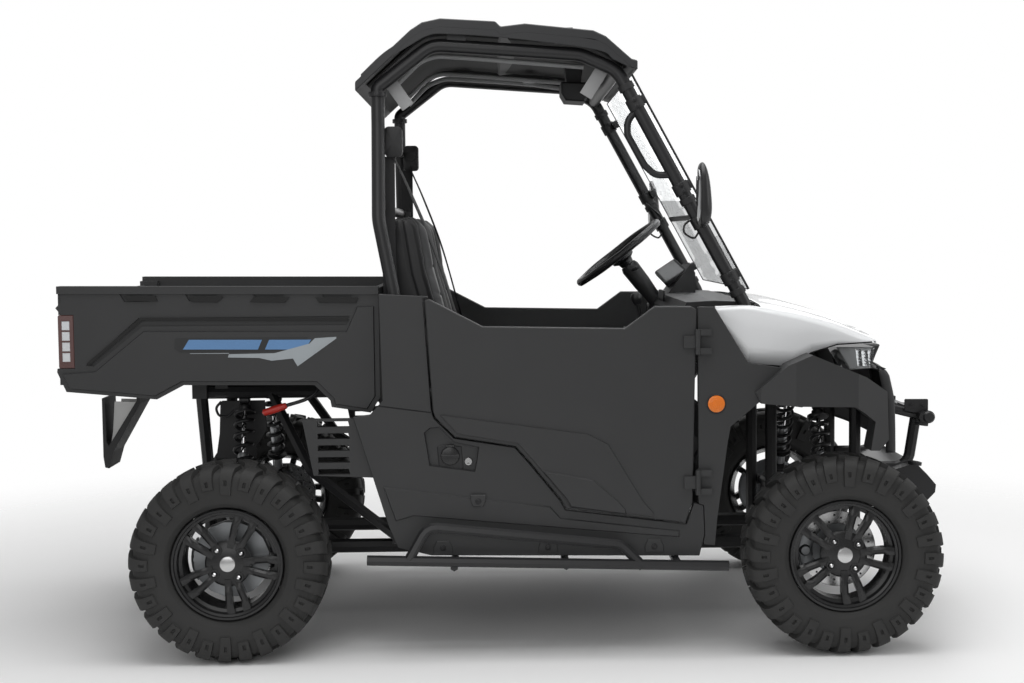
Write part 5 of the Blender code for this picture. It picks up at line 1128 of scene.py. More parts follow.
FASCIA_PROFILE = np.array((
    (0.640, 1.3180), (0.652, 1.3180), (0.720, 1.3172), (0.800, 1.3150), (0.816, 1.3140), (0.850, 1.3070),
    (0.885, 1.2990), (0.896, 1.2965), (0.906, 1.2905), (0.914, 1.2800), (0.919, 1.2660),
))
FASCIA_LIP = 0.5996
FASCIA_REAR = 1.215
FASCIA_TOP = 0.919
GRILLE_HALF = 0.3


def fascia_front(y, z):
    """The front face: the profile's X less a sweep that grows with the distance from the middle."""
    return np.interp(z, FASCIA_PROFILE[:, 0], FASCIA_PROFILE[:, 1]) - 0.05 * (np.abs(y) / FASCIA_LIP) ** 2.4


def fascia_sheet(pile, across, heights, flip=False):
    """Part of the front face over a run of places across and of heights."""
    y, z = np.meshgrid(across, heights, indexing="ij")
    pile.grid(np.stack([fascia_front(y, z), y, z], -1), flip=flip)


def build_fascia():
    """A nose panel swept back to both sides, open for the lamps, with slats across its middle: every
    place follows the front face, less a depth for the corners, the shelf, the slats and the back."""
    skin, crest, slats, back = (Pile() for _ in range(4))
    rows = np.unique(np.r_[np.linspace(0.64, FASCIA_TOP, 22), FASCIA_PROFILE[:, 0]])
    corner = ((0.59, 0.0), (0.595, 0.0015), (0.5982, 0.005), (FASCIA_LIP, 0.012), (FASCIA_LIP, 0.03))
    brow = np.linspace(0.355, FASCIA_LIP, 16)
    front = fascia_front(brow, FASCIA_TOP)
    for side, _ in SIDES:
        fascia_sheet(skin, side * np.linspace(GRILLE_HALF, 0.59, 24), rows, flip=side < 0)
        skin.grid([np.stack([np.maximum(fascia_front(y, rows) - deep, FASCIA_REAR), 0 * rows + side * y,
                             rows], -1) for y, deep in corner], flip=side < 0)
        skin.grid([np.stack([front - deep * (front - FASCIA_REAR), side * brow,
                             FASCIA_TOP - 0.003 * deep + 0 * brow], -1) for deep in (0.0, 0.5, 1.0)],
                  flip=side < 0)
        lofted(crest, [(1.215, 0.9195), (1.24, 0.9195), (1.217, 0.93), (1.215, 0.93)],
               (side * 0.556, side * 0.599), inset=0.002)
    across = np.linspace(-GRILLE_HALF, GRILLE_HALF, 30)
    fascia_sheet(skin, across, rows[rows <= 0.7205])
    fascia_sheet(skin, across, rows[rows >= 0.884])
    wall(skin.make("fascia_skin", "Charcoal Panel", "chassis", ("front_fascia",), sharp=30, shell=True),
         0.0035, weld=0.0004)
    lofted(crest, [(1.216, 0.922), (1.254, 0.924), (1.264, 0.95), (1.277, 0.98), (1.2745, 0.985),
                   (1.216, 0.987)], (-0.358, 0.358), inset=0.006)
    crest.make("fascia_crest", "Charcoal Panel", sharp=30)
    across = np.linspace(-0.298, 0.298, 40)
    for z in np.linspace(0.742, 0.868, 5):
        slats.tube(np.stack([fascia_front(across, z) - 0.01, across, z + 0 * across], 1),
                   rounded_rectangle(0.01, 0.014, 0.003, 3))
    z = np.linspace(0.712, 0.896, 14)
    front = fascia_front(GRILLE_HALF, z) - 0.0015
    ring = np.vstack([np.stack([front, z], 1), np.stack([front - 0.036, z], 1)[::-1]])
    for side, _ in SIDES:
        lofted(slats, ring, (side * 0.296, side * 0.301), inset=0.0008)
    for y in (-0.2, -0.1, 0.0, 0.1, 0.2):
        slats.tube([(fascia_front(y, 0.718) - 0.018, y, 0.714), (fascia_front(y, 0.885) - 0.018, y, 0.892)],
                   rounded_rectangle(0.006, 0.01, 0.002, 3), up=(0, 1, 0))
    slats.make("grille_slats", "Smooth Moulding")
    # Painted shade: a near-black sheet behind the slats, where shade falls.
    y, z = np.meshgrid(np.linspace(-0.31, 0.31, 20), np.linspace(0.7, 0.9, 6), indexing="ij")
    back.grid(np.stack([fascia_front(y, z) - 0.03, y, z], -1))
    wall(back.make("grille_back_shade", "Painted Recess Shade", shell=True), 0.003)


TAIL_LAMP = {"rear": -1.4855, "front": -1.4337, "inner": 0.575, "outer": 0.6446, "foot": 0.957, "top": 1.132}
TAIL_PITCH = 0.0345


def build_tail_lights():
    """A dark red frame with four stacked clear blocks behind ribbed covers on the rear and the side."""
    rear, front, inner, outer, foot, top = TAIL_LAMP.values()
    outline = [(rear, foot + 0.004), (rear, top - 0.004), (rear + 0.004, top), (front, top), (front, foot),
               (rear + 0.004, foot)]
    for side, hand in SIDES:
        body, blocks, ribs = Pile(), Pile(), Pile()
        lofted(body, outline, (side * inner, side * outer), inset=0.0025)
        body.make("tail_light_frame_" + hand, "Red Frame", "cargo_bed", ("tail_light_" + hand,))
        y = side * (inner + outer) / 2
        for z in foot + 0.022 + TAIL_PITCH * np.arange(4):
            cell = [(rear + 0.013, z), (rear + 0.013, z + 0.029), (front - 0.014, z + 0.029),
                    (front - 0.014, z)]
            lofted(blocks, cell, (side * (outer - 0.004), side * (outer + 0.0012)), inset=0.0012)
            blocks.tube([(rear + 0.004, y, z + 0.0145), (rear - 0.0012, y, z + 0.0145)],
                        rounded_rectangle(0.05, 0.029, 0.004, 3))
        y = side * (outer + 0.0008)
        for z in foot + 0.0185 + TAIL_PITCH * np.arange(5):
            ribs.tube([(rear + 0.01, y, z), (front - 0.012, y, z)], circle(0.0012, 6))
        blocks.make("tail_light_blocks_" + hand, "Lamp Block", "cargo_bed")
        ribs.make("tail_light_ribs_" + hand, "Red Frame", "cargo_bed")


# Steering wheel, display and mirrors

DRIVER_MIDDLE = 0.33


def build_steering():
    """A ring whose grip swells three times round and is knurled, three flat spokes, a turned boss and
    the column's shroud: ring point = centre + (radius + grip cos a) outward + grip sin a ahead."""
    centre = np.array((0.4245, DRIVER_MIDDLE, 1.305))
    heading = np.array((0.61, 0, -0.792))
    side = np.array((0.0, 1.0, 0.0))
    up = np.cross(heading, side)
    t = np.linspace(0, TURN, 120, endpoint=False)
    spoke = np.cos(t)[:, None] * side + np.sin(t)[:, None] * up
    grip = 0.0135 + 0.0016 * np.cos(3 * t - math.pi / 2) ** 2
    a = np.linspace(0, TURN, 18, endpoint=False)
    knurl = 1 - 0.05 * (np.cos(9 * a) > 0.6)
    ring = (centre + spoke[:, None] * (0.1865 + grip[:, None, None] * (np.cos(a) * knurl)[None, :, None])
            + heading * (grip[:, None] * (np.sin(a) * knurl)[None])[..., None])
    rim = Pile().grid(ring, round_rows=True, round_columns=True)
    rim.make("steering_rim", "Smooth Moulding", "steering_wheel", ("steering_wheel",))
    hub = Pile()
    boss = [(0.0, -0.006), (0.03, -0.006), (0.042, -0.001), (0.048, 0.01), (0.046, 0.022), (0.03, 0.032),
            (0.026, 0.048), (0.0, 0.048)]
    hub.turned(boss, centre + heading * 0.01, heading, 40, flip=False)
    for angle in (math.radians(90 + k * 120) for k in range(3)):
        out = side * math.cos(angle) + up * math.sin(angle)
        share = np.linspace(0, 1, 8)
        path = centre + heading * (0.022 * (1 - share ** 1.5))[:, None] + out * (0.03 + 0.15 * share)[:, None]
        wide = 0.04 - 0.016 * np.sin(share * math.pi)
        section = rounded_rectangle(1, 1, 0.3, 4)[None] * np.stack([wide, 0.009 + 0 * wide], 1)[:, None]
        hub.tube(path, section, up=heading)
    hub.make("steering_spokes", "Smooth Moulding", "steering_wheel")
    badge = Pile()
    badge.turned([(0.0, -0.0075), (0.018, -0.0072), (0.0195, -0.0055), (0.0195, 0.002)],
                 centre + heading * 0.01, heading, 32)
    badge.make("steering_cap", "Silver Tube", "steering_wheel")
    shroud = Pile()
    path = [centre + heading * reach for reach in (0.06, 0.075, 0.15, 0.2, 0.255)]
    shroud.tube(path, sized(circle(1.0, 20), (0.03, 0.036, 0.034, 0.03, 0.028)), up=(0, 1, 0))
    for way in (-1, 1):
        stalk = centre + heading * 0.085 + side * way * 0.034
        shroud.tube(curve_through([stalk, stalk + side * way * 0.045 + up * 0.008,
                                   stalk + side * way * 0.085 + up * 0.018], 6), circle(0.006, 10))
    shroud.make("column_shroud", "Black Moulding", "chassis", ("steering_column",))


def build_display():
    """A thin screen in a frame on a bent bracket above the dashboard, with a plain dark face: rounded
    rectangles carried a little way along the face's normal."""
    case, face, arm = Pile(), Pile(), Pile()
    tilt, out = np.array((0.839, 0, 0.545)), np.array((-0.522, -0.29, 0.802))
    centre = np.array((0.633, DRIVER_MIDDLE, 1.219))
    case.tube([centre + out * reach for reach in (0.0, 0.003, 0.014, 0.017)],
              sized(rounded_rectangle(0.17, 0.098, 0.012, 5), (0.97, 1, 1, 0.97)), up=tilt)
    case.make("display_case", "Black Moulding")
    face.tube([centre + out * reach for reach in (0.0165, 0.0178)], rounded_rectangle(0.15, 0.078, 0.006, 4),
              up=tilt)
    face.make("display_glass", "Screen Glass")
    arm.tube(curve_through([centre, centre - out * 0.02 - tilt * 0.02, (0.668, DRIVER_MIDDLE, 1.168)], 8),
             rounded_rectangle(0.05, 0.008, 0.003, 3), up=(0, 1, 0))
    arm.make("display_bracket", "Powder Coat")


def build_mirrors():
    """A teardrop shell, round in front and flat behind: x = t cos a before it, x = -b (1 - v^8)^1/2 behind,
    y = w (1 - |v|^3.2)^1/2 sin a and z = h v; an oval glass, and an arm from a collar on the pillar."""
    v = np.sin(np.linspace(-math.pi / 2, math.pi / 2, 36))[:, None]
    a = np.linspace(0, TURN, 48, endpoint=False)
    ca, sa = np.cos(a), np.sin(a)
    wide = 0.065 * (1 - np.abs(v) ** 3.2) ** 0.5
    thick = 0.027 * (1 - np.abs(v) ** 2.6) ** 0.5 * (1.0 - 0.32 * v)
    flat = 0.0125 * (1 - np.abs(v) ** 8) ** 0.5
    bulge = np.stack([np.where(ca > 0, thick * ca, -flat * np.abs(ca) ** 0.22) - 0.003,
                      wide * np.sign(sa) * np.abs(sa) ** 0.85, 0.1035 * v + 0 * a], -1)
    oval = np.stack([0 * a, 0.051 * np.sign(sa) * np.abs(sa) ** 0.8,
                     0.083 * np.sign(ca) * np.abs(ca) ** 0.8], 1)
    for side, hand in SIDES:
        shell, glass, arm = Pile(), Pile(), Pile()
        mid = np.array((0.6065, side * 0.795, 1.4965))
        shell.grid(mid + bulge, round_columns=True, flip=True)
        shell.make("mirror_shell_" + hand, "Smooth Moulding", "chassis", ("mirror_" + hand,))
        glass.bar(np.array([mid + oval * shrink + [x, 0, 0] for shrink, x in (
            (1.0, -0.015), (1.0, -0.0163), (0.97, -0.0168))]), True)
        glass.make("mirror_glass_" + hand, "Mirror Glass")
        foot = pillar(0.36, 0.0, side)
        bend = [foot + [0, side * 0.018, 0], foot + [0.004, side * 0.07, 0.004],
                (0.606, side * 0.735, 1.43), (0.608, side * 0.77, 1.448)]
        arm.tube(curve_through(bend, 10), circle(0.0085, 12))
        turned_ring(arm, foot, 0.022, 0.0275, 0.04, ALONG_PILLAR, 30)
        arm.turned([(0.0, -0.014), (0.012, -0.012), (0.0165, 0.0), (0.012, 0.012), (0.0, 0.014)],
                   foot + [0.002, side * 0.036, 0.002], (0, 1, 0), 20)
        arm.make("mirror_arm_" + hand, "Powder Coat")


# Windscreen trim

SCREEN_OFF = 0.0405


def build_screen_trim():
    """A dark edge round each clear pane and a joining strip between them, carried along straight lines."""
    edge, strip = Pile(), Pile()
    for low, high in ((0.045, 0.36), (0.3612, 0.96)):
        corners = [pillar(share, SCREEN_OFF, side, 0.5655) for share, side in (
            (low, -1), (high, -1), (high, 1), (low, 1))]
        for a, b in zip(corners, corners[1:] + corners[:1]):
            edge.tube([a, b], rounded_rectangle(0.0075, 0.003, 0.001, 3),
                      up=(PILLAR_NORMAL[1], 0.02, -PILLAR_NORMAL[0]))
    edge.make("screen_edges", "Edge Trim")
    strip.tube([pillar(0.3606, SCREEN_OFF, side, 0.56) for side in (-1, 1)],
               rounded_rectangle(0.012, 0.02, 0.003, 3), up=ALONG_PILLAR)
    strip.make("screen_strip", "Edge Trim")


# Body trim

def skin(node, x, z, side):
    """How far out the side of a solid stands at a station and a height."""
    ray = Vector((x, side * 1.2, z)), Vector((0, -side, 0))
    found, place, _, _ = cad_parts[node].ray_cast(*ray)
    return abs(place[1]) if found else 0.0


def plate(pile, outline, y, thick, side, inset=0.001):
    """A flat piece with eased edges on a side, its outline in X and Z."""
    lofted(pile, outline, (y - side * 0.001, y + side * thick), inset=inset)


def on_side(node, outline, side):
    """The outermost face of a solid under an outline."""
    return side * max(skin(node, x, z, side) for x, z in outline)


PANEL_TABS = (
    # X, Z, width, height, upside down
    (-0.236, 0.362, 0.062, 0.042, False), (0.107, 0.36, 0.062, 0.042, False),
    (0.455, 0.358, 0.062, 0.042, False), (-0.119, 0.514, 0.05, 0.04, True),
)
REFLECTOR = (0.66, 0.821)


def build_side_trim():
    """Pressed tabs with bolts and turned amber reflectors, set on the face that a ray finds."""
    for side, hand in SIDES:
        tabs, bolts, lenses, rims = (Pile() for _ in range(4))
        for x, z, wide, tall, turned in PANEL_TABS:
            w, h = wide / 2, tall / 2
            outline = [(x - w, z - h), (x - w, z), (x - w * 0.66, z + h), (x + w * 0.66, z + h), (x + w, z),
                       (x + w, z - h)]
            if turned:
                outline = [(a, 2 * z - b) for a, b in outline][::-1]
            y = on_side("side_panel_" + hand, [(x, z), (x - w, z), (x + w, z)], side)
            plate(tabs, outline, y, 0.0045, side, 0.0022)
            bolt_head(bolts, (x, y + side * 0.0045, z - 0.002), (0, side, 0), 0.0068, 0.0045)
        tabs.make("panel_tabs_" + hand, "Charcoal Panel", sharp=25)
        bolts.make("panel_bolts_" + hand, "Dark Bolt")
        x, z = REFLECTOR
        at = np.array((x, on_side("front_fender_" + hand, [REFLECTOR], side), z))
        lens = np.array([(0.0, 0.0065), (0.014, 0.0058), (0.024, 0.0042), (0.0275, 0.0025), (0.0285, 0.0)])
        lenses.turned(lens * [1, side], at, steps=44, flip=side < 0)
        for reach in (0.008, 0.014, 0.02):
            turned_ring(lenses, at + [0, side * (0.0062 - 9 * (reach - 0.006) ** 2), 0],
                        reach, reach + 0.0022, 0.0012, steps=40, soft=0.0003)
        lenses.make("side_reflector_" + hand, "Amber Lens")
        turned_ring(rims, at + [0, side * 0.001, 0], 0.028, 0.0315, 0.0042, steps=44)
        rims.make("reflector_rim_" + hand, "Smooth Moulding")


def build_charge_port():
    """The charging port's round lid with a grip and a hinge, in a bezel beside its lock, on the right."""
    side, port, lock, pocket, slot = -1, *(Pile() for _ in range(4))
    y = on_side("side_panel_right", [(-0.209, 0.658), (-0.15, 0.641)], side)
    bezel = [(-0.246, 0.624), (-0.251, 0.69), (-0.236, 0.697), (-0.172, 0.69), (-0.166, 0.618),
             (-0.176, 0.612)]
    plate(pocket, bezel, y, 0.003, side, 0.002)
    pocket.make("port_bezel", "Smooth Moulding")
    lid = np.array([(0.0, 0.011), (0.022, 0.0105), (0.0285, 0.0085), (0.031, 0.004), (0.031, 0.0)])
    port.turned(lid * [1, side], (-0.209, y, 0.66), steps=48, flip=True)
    port.tube([(-0.238, y - 0.006, 0.66), (-0.18, y - 0.006, 0.66)],
              rounded_rectangle(0.01, 0.012, 0.003, 3))
    port.tube([(-0.222, y - 0.005, 0.692), (-0.196, y - 0.005, 0.692)], circle(0.005, 12))
    port.make("charge_port", "Rim Paint")
    barrel = np.array([(0.0, 0.0075), (0.0115, 0.007), (0.0135, 0.005), (0.014, 0.0)])
    lock.turned(barrel * [1, side], (-0.1495, y, 0.6405), steps=32, flip=True)
    lock.make("port_lock", "Machined Steel")
    # Painted shade: a near-black sliver in the lock's keyway.
    slot.tube([(-0.1495, y - 0.0073, 0.636), (-0.1495, y - 0.0082, 0.636)],
              rounded_rectangle(0.008, 0.0022, 0.0006, 2))
    slot.make("port_keyway", "Painted Recess Shade")


STRIPES = (
    ("Stripe Dark", 0.00022, ((-1.104, 1.05), (-1.092, 1.053), (-0.667, 1.052), (-0.69, 1.008), (-0.93, 1.003),
                              (-1.088, 1.005), (-1.106, 1.018))),
    ("Stripe Blue", 0.00045, ((-1.0777, 1.0156), (-1.0574, 1.0472), (-0.8194, 1.0443), (-0.8332, 1.0127))),
    ("Stripe Blue", 0.00045, ((-0.8103, 1.0125), (-0.796, 1.0441), (-0.659, 1.043), (-0.68, 1.0109))),
    ("Stripe Silver", 0.0007, ((-0.932, 0.9877), (-0.928, 0.9985), (-0.78, 1.0), (-0.665, 1.03),
                                (-0.6464, 1.0475), (-0.5768, 1.0513), (-0.5769, 1.0457), (-0.7047, 0.9561),
                                (-0.7195, 0.9819), (-0.7896, 0.9755), (-0.83, 0.985))),
    ("Stripe Silver", 0.0007, ((-1.0552, 1.0012), (-1.0552, 1.0028), (-0.928, 1.0024), (-0.928, 1.0003))),
)


BED_SIDE = 0.6522


def build_stripes():
    """Plain wedge and bar stripes laid on both sides of the bed: flat outlines with a thin wall."""
    for side, hand in SIDES:
        for number, (look, thick, outline) in enumerate(STRIPES):
            sheet, count = Pile(), len(outline)
            ring = upright(outline, side * BED_SIDE)
            sheet.grid([ring - [0, side * 0.002, 0], ring + [0, side * thick, 0]], round_columns=True,
                       flip=side > 0)
            sheet.faces += [list(range(count))[::-1], list(range(count, 2 * count))]
            sheet.make("bed_stripe_%s_%d" % (hand, number + 1), look, "cargo_bed", smooth=False)


BED_WINDOWS = (
    ((-1.268, 1.1936), (-1.165, 1.1924), (-1.1566, 1.1743), (-1.2565, 1.1755)),
    ((-1.0561, 1.1896), (-0.9411, 1.1883), (-0.9625, 1.1691), (-1.0461, 1.1701)),
    ((-0.8426, 1.1842), (-0.726, 1.1828), (-0.7428, 1.1651), (-0.8579, 1.1679)),
    ((-0.6437, 1.1811), (-0.5016, 1.1788), (-0.5109, 1.1616), (-0.6306, 1.1638)),
)
BED_GROOVE = ((-1.3894, 0.97), (-1.2119, 1.1165), (-0.5358, 1.1071))


def build_bed_shades():
    """Painted shade: near-black sheets in the windows under the bed's rail, along the deep part of its groove
    and in the gap behind the cab.
    """
    for side, hand in SIDES:
        dark, gap_shade = Pile(), Pile()
        # Painted shade: near-black sheets in the windows under the bed's rail.
        for outline in BED_WINDOWS:
            lofted(dark, outline, (side * 0.6505, side * 0.6526), inset=0.0004)
        # Painted shade: a near-black strip along the deep part of the groove.
        dark.tube(upright(BED_GROOVE, side * BED_SIDE), rounded_rectangle(0.01, 0.001, 0.0003, 2),
                  up=(0, 1, 0))
        dark.make("bed_window_shades_" + hand, "Painted Recess Shade", "cargo_bed")
        # Painted shade: a near-black strip in the gap between the cab and the bed.
        lofted(gap_shade, [(-0.436, 0.8), (-0.43, 0.8), (-0.43, 1.18), (-0.436, 1.18)],
               (side * 0.622, side * 0.655), inset=0.001)
        gap_shade.make("cab_gap_shade_" + hand, "Painted Recess Shade")


def build_plate_gussets():
    """Two thin gussets that hold the plate bracket under the bed."""
    gusset = Pile()
    for side in (-1, 1):
        lofted(gusset, ((-1.4513, 0.7868), (-1.3602, 0.784), (-1.4714, 0.6115), (-1.4593, 0.6813)),
               (side * 0.05, side * 0.053), inset=0.0008)
    gusset.make("plate_gussets", "Pale Plate", "cargo_bed")


LINING_PROFILE = ((-0.47, 1.874), (-0.31, 2.012), (-0.215, 2.04), (0.0, 2.026), (0.26, 1.998),
                  (0.392, 1.922))
ROOF_EDGE = ((-0.4829, 1.872), (-0.4072, 1.9409), (-0.319, 1.9946), (-0.2635, 2.0238), (-0.2052, 2.0284),
             (-0.0014, 2.0133), (0.2771, 1.9746), (0.3369, 1.9419), (0.3903, 1.9157))
SKIRT_ROWS = ((0.6395, 0.03), (0.6395, 0.002), (0.6382, 0.0), (0.635, 0.0), (0.634, 0.002), (0.634, 0.03))
ROOF_RIBS = (
    # distance from the middle, radius, places in X and Z
    (0.545, 0.0095, ((-0.392, 1.9), (-0.318, 1.977), (-0.2447, 2.0035), (-0.0174, 1.9872), (0.1046, 1.9762),
                     (0.2267, 1.9586))),
    (0.3, 0.0085, ((-0.3848, 1.902), (-0.3042, 1.98), (-0.2488, 1.9965), (-0.1349, 1.9885),
                     (0.2588, 1.9538))),
)


def build_roof_lining():
    """A near-black lining of painted shade under the roof, rising with one less the square of the distance
    from the middle, and a skirt whose rows follow the roof's edge on each side."""
    lining, skirt = Pile(), Pile()
    profile, path = curve_through(LINING_PROFILE, 10), curve_through(ROOF_EDGE, 6)
    # Painted shade: a near-black sheet under the roof, where shade falls.
    lining.grid([upright(profile, y) + [0, 0, 0.006 * (1 - (y / 0.56) ** 2)]
                 for y in np.linspace(-0.565, 0.565, 15)], flip=True)
    wall(lining.make("roof_shade_lining", "Painted Recess Shade", shell=True), 0.003, 1.0)
    for side, _ in SIDES:
        rows = np.array([upright(path, side * y) + [0, 0, rise] for y, rise in SKIRT_ROWS])
        skirt.grid(rows, round_rows=True, flip=side > 0)
        skirt.cap(rows[:, 0], side > 0)
        skirt.cap(rows[:, -1], side < 0)
    skirt.make("roof_skirt", "Roof Moulding")


def build_roof_ribs():
    """Grey ribs bent along the rails, flat gussets at the near side's corners and a console box."""
    ribs, bars, box = Pile(), Pile(), Pile()
    for side, _ in SIDES:
        for y, radius, stops in ROOF_RIBS:
            ribs.tube(bent(upright(stops, side * y), 0.12), circle(radius, 14), up=(0, 1, 0))
        ribs.tube([(0.086, side * 0.553, 1.984), (0.092, side * 0.44, 1.978)],
                  rounded_rectangle(0.05, 0.006, 0.002, 3))
    for stops in (((-0.408, 1.905), (-0.336, 1.802)), ((0.25, 1.832), (0.325, 1.948))):
        bars.tube(upright(stops, -0.555), rounded_rectangle(0.044, 0.006, 0.002, 3), up=(0, 1, 0))
    ribs.make("roof_ribs", "Rib Grey")
    bars.make("roof_gussets", "Rib Grey")
    lofted(box, [(0.19, 1.925), (0.285, 1.922), (0.29, 1.875), (0.276, 1.853), (0.206, 1.858),
                 (0.19, 1.885)], (-0.09, 0.09), inset=0.006)
    lofted(box, [(0.205, 1.985), (0.27, 1.98), (0.262, 1.92), (0.212, 1.922)], (-0.05, 0.05), inset=0.003)
    box.make("roof_console", "Black Moulding")


def build_lever():
    """The bed's release lever: a soft grip on a bent flat rod, held under the bed's floor."""
    grip, rod = Pile(), Pile()
    path = curve_through([(-0.838, -0.548, 0.792), (-0.8, -0.548, 0.803), (-0.757, -0.548, 0.817)], 8)
    share = np.linspace(0, 1, len(path))
    size = (0.0105 + 0.0022 * np.sin(share * math.pi) - 0.006 * (1 - step(0.0, 0.07, share))
            - 0.002 * step(0.95, 1, share))
    grip.tube(path, sized(circle(1.0, 14), size), up=(0, 1, 0))
    grip.make("release_grip", "Red Grip", "cargo_bed")
    rod.tube(curve_through([(-0.765, -0.548, 0.8145), (-0.69, -0.548, 0.838), (-0.655, -0.54, 0.866),
                            (-0.65, -0.53, 0.902)], 8), circle(0.0062, 12), up=(0, 1, 0))
    rod.make("release_rod", "Spring Coat", "cargo_bed")


def build_guard():
    """Round end caps, collars, tabs and bolts on the front guard."""
    caps, tabs, bolts = Pile(), Pile(), Pile()
    cap = np.array([(0.0, 0.006), (0.016, 0.005), (0.0215, 0.0), (0.0225, -0.004), (0.0225, -0.016),
                    (0.0205, -0.018)])
    for side, _ in SIDES:
        caps.turned(cap * [1, side], (1.4565, side * 0.33, 0.725), steps=28, flip=side < 0)
        for x, z in ((1.4375, 0.7), (1.4155, 0.56)):
            turned_ring(caps, np.array((x, side * 0.3, z)), 0.019, 0.0245, 0.012, (0.157, 0, 0.988), 26)
        lofted(tabs, [(1.378, 0.745), (1.378, 0.784), (1.381, 0.787), (1.458, 0.7862), (1.461, 0.783),
                      (1.461, 0.735), (1.42, 0.738)], (side * 0.297, side * 0.303), inset=0.001)
        for x in (1.4, 1.44):
            bolt_head(bolts, (x, side * 0.303, 0.766), (0, side, 0), 0.0055, 0.004)
    caps.make("guard_caps", "Smooth Moulding")
    tabs.make("guard_tabs", "Powder Coat")
    bolts.make("guard_bolts", "Dark Bolt")


VENT_PLACE = (0.56, 1.06)


def build_vents():
    """Turned round vents with slats as long as the circle's chord, and a row of plain switches."""
    vents, switches = Pile(), Pile()
    x, z = VENT_PLACE
    for y in (-0.46, -0.2, 0.12, 0.52):
        turned_ring(vents, np.array((x, y, z)), 0.03, 0.04, 0.016, (-1, 0, 0), 40, 0.002)
        for rise in (-0.016, -0.006, 0.004, 0.014):
            half = math.sqrt(0.031 ** 2 - rise ** 2)
            vents.tube([(x - 0.0015, y - half, z + rise), (x - 0.0015, y + half, z + rise)],
                       rounded_rectangle(0.003, 0.008, 0.001, 2), up=(0.6, 0, 0.8))
    vents.make("dash_vents", "Smooth Moulding")
    for y in (-0.075, -0.035, 0.005, 0.045):
        switches.tube([(x, y, 1.15) for x in (0.561, 0.554, 0.552)],
                      sized(rounded_rectangle(0.026, 0.04, 0.004, 3), (1, 1, 0.8)))
    switches.make("dash_switches", "Dark Bolt")


def build_levers():
    """A shift lever and a brake lever as bent rods with soft knobs, and two pedals on flat arms."""
    levers, knobs, pedals = Pile(), Pile(), Pile()
    shift = upright([(0.575, 1.0), (0.52, 1.01), (0.49, 1.045), (0.47, 1.12)], 0.02)
    brake = upright([(0.585, 0.98), (0.53, 0.985), (0.48, 1.0)], 0.2)
    levers.tube(curve_through(shift, 8), circle(0.007, 14), up=(0, 1, 0))
    levers.tube(curve_through(brake, 8), circle(0.008, 14), up=(0, 1, 0))
    levers.make("dash_levers", "Spring Coat")
    knobs.turned([(0.0, -0.024), (0.014, -0.022), (0.019, -0.008), (0.021, 0.008), (0.016, 0.02),
                  (0.0, 0.024)], (0.466, 0.02, 1.138), (-0.25, 0, 0.97), 28)
    knobs.tube([(0.5, 0.2, 0.995), (0.43, 0.2, 1.012)], rounded_rectangle(0.022, 0.026, 0.009, 4))
    knobs.make("dash_knobs", "Smooth Moulding")
    for y, wide, z in ((0.26, 0.085, 0.62), (0.4, 0.05, 0.6)):
        pedals.tube([(0.585, y, z), (0.578, y, z + 0.004)], rounded_rectangle(wide, 0.06, 0.008, 4))
        pedals.tube(curve_through([(0.588, y, z), (0.625, y, z + 0.06), (0.63, y, z + 0.17)], 6),
                    rounded_rectangle(0.014, 0.008, 0.002, 3), up=(0, 1, 0))
    pedals.make("pedals", "Powder Coat")


def build_bed_trim():
    """Tie loops bent inside the bed's sides, and the tailgate's latch and reflectors."""
    loops, latch, lights = Pile(), Pile(), Pile()
    loop = np.array([(-0.03, 0.606, 1.12), (-0.03, 0.592, 1.1), (0, 0.586, 1.09), (0.03, 0.592, 1.1),
                     (0.03, 0.606, 1.12)])
    for side, _ in SIDES:
        for x in (-1.32, -0.6):
            loops.tube(curve_through(to_side(loop + [x, 0, 0], side), 7), circle(0.0045, 10))
        lights.turned([(0.0, -0.0045), (0.02, -0.0035), (0.0225, 0.0), (0.0225, 0.002)],
                      (-1.4855, side * 0.46, 0.955), (1, 0, 0), 32)
    loops.make("bed_tie_loops", "Spring Coat", "cargo_bed")
    lights.make("tailgate_reflectors", "Red Grip", "tailgate")
    latch.tube([(-1.485, -0.09, 1.128), (-1.4895, -0.09, 1.128)], rounded_rectangle(0.003, 0.003, 0.001, 2))
    latch.tube([(-1.488, y, 1.12) for y in (-0.085, -0.082, 0.082, 0.085)],
               sized(rounded_rectangle(0.016, 0.03, 0.005, 4), (0.8, 1, 1, 0.8)))
    latch.make("tailgate_latch", "Smooth Moulding", "tailgate")


def build_tow_details():
    """The receiver's pin, and the plates and the hook that hang behind the rear tower."""
    pin, plates = Pile(), Pile()
    lofted(plates, [(-1.032, 0.832), (-1.03, 0.874), (-0.986, 0.874), (-0.984, 0.832), (-0.99, 0.826),
                    (-1.026, 0.826)], (-0.35, -0.344), inset=0.001)
    hook = upright([(-1.01, 0.812), (-1.03, 0.79), (-1.02, 0.762), (-0.99, 0.758), (-0.966, 0.78)],
                   -0.35)
    plates.tube(bent(hook, 0.02), circle(0.0045, 10), up=(0, 1, 0))
    lofted(plates, [(-1.048, 0.6), (-1.034, 0.69), (-1.029, 0.8), (-1.022, 0.806), (-0.872, 0.806),
                    (-0.866, 0.7), (-0.905, 0.64), (-0.905, 0.6)], (-0.262, -0.256), inset=0.0015)
    plates.make("rear_plates", "Chassis Coat")
    pin.turned([(0.0, -0.055), (0.007, -0.052), (0.0075, -0.048), (0.0075, 0.048), (0.0, 0.048)],
               (-1.205, 0, 0.3), (0, 1, 0), 18)
    pin.turned([(0.0, 0.046), (0.013, 0.046), (0.013, 0.05), (0.0, 0.05)], (-1.205, 0, 0.3), (0, 1, 0), 18)
    pin.make("receiver_pin", "Machined Steel")


# Stage

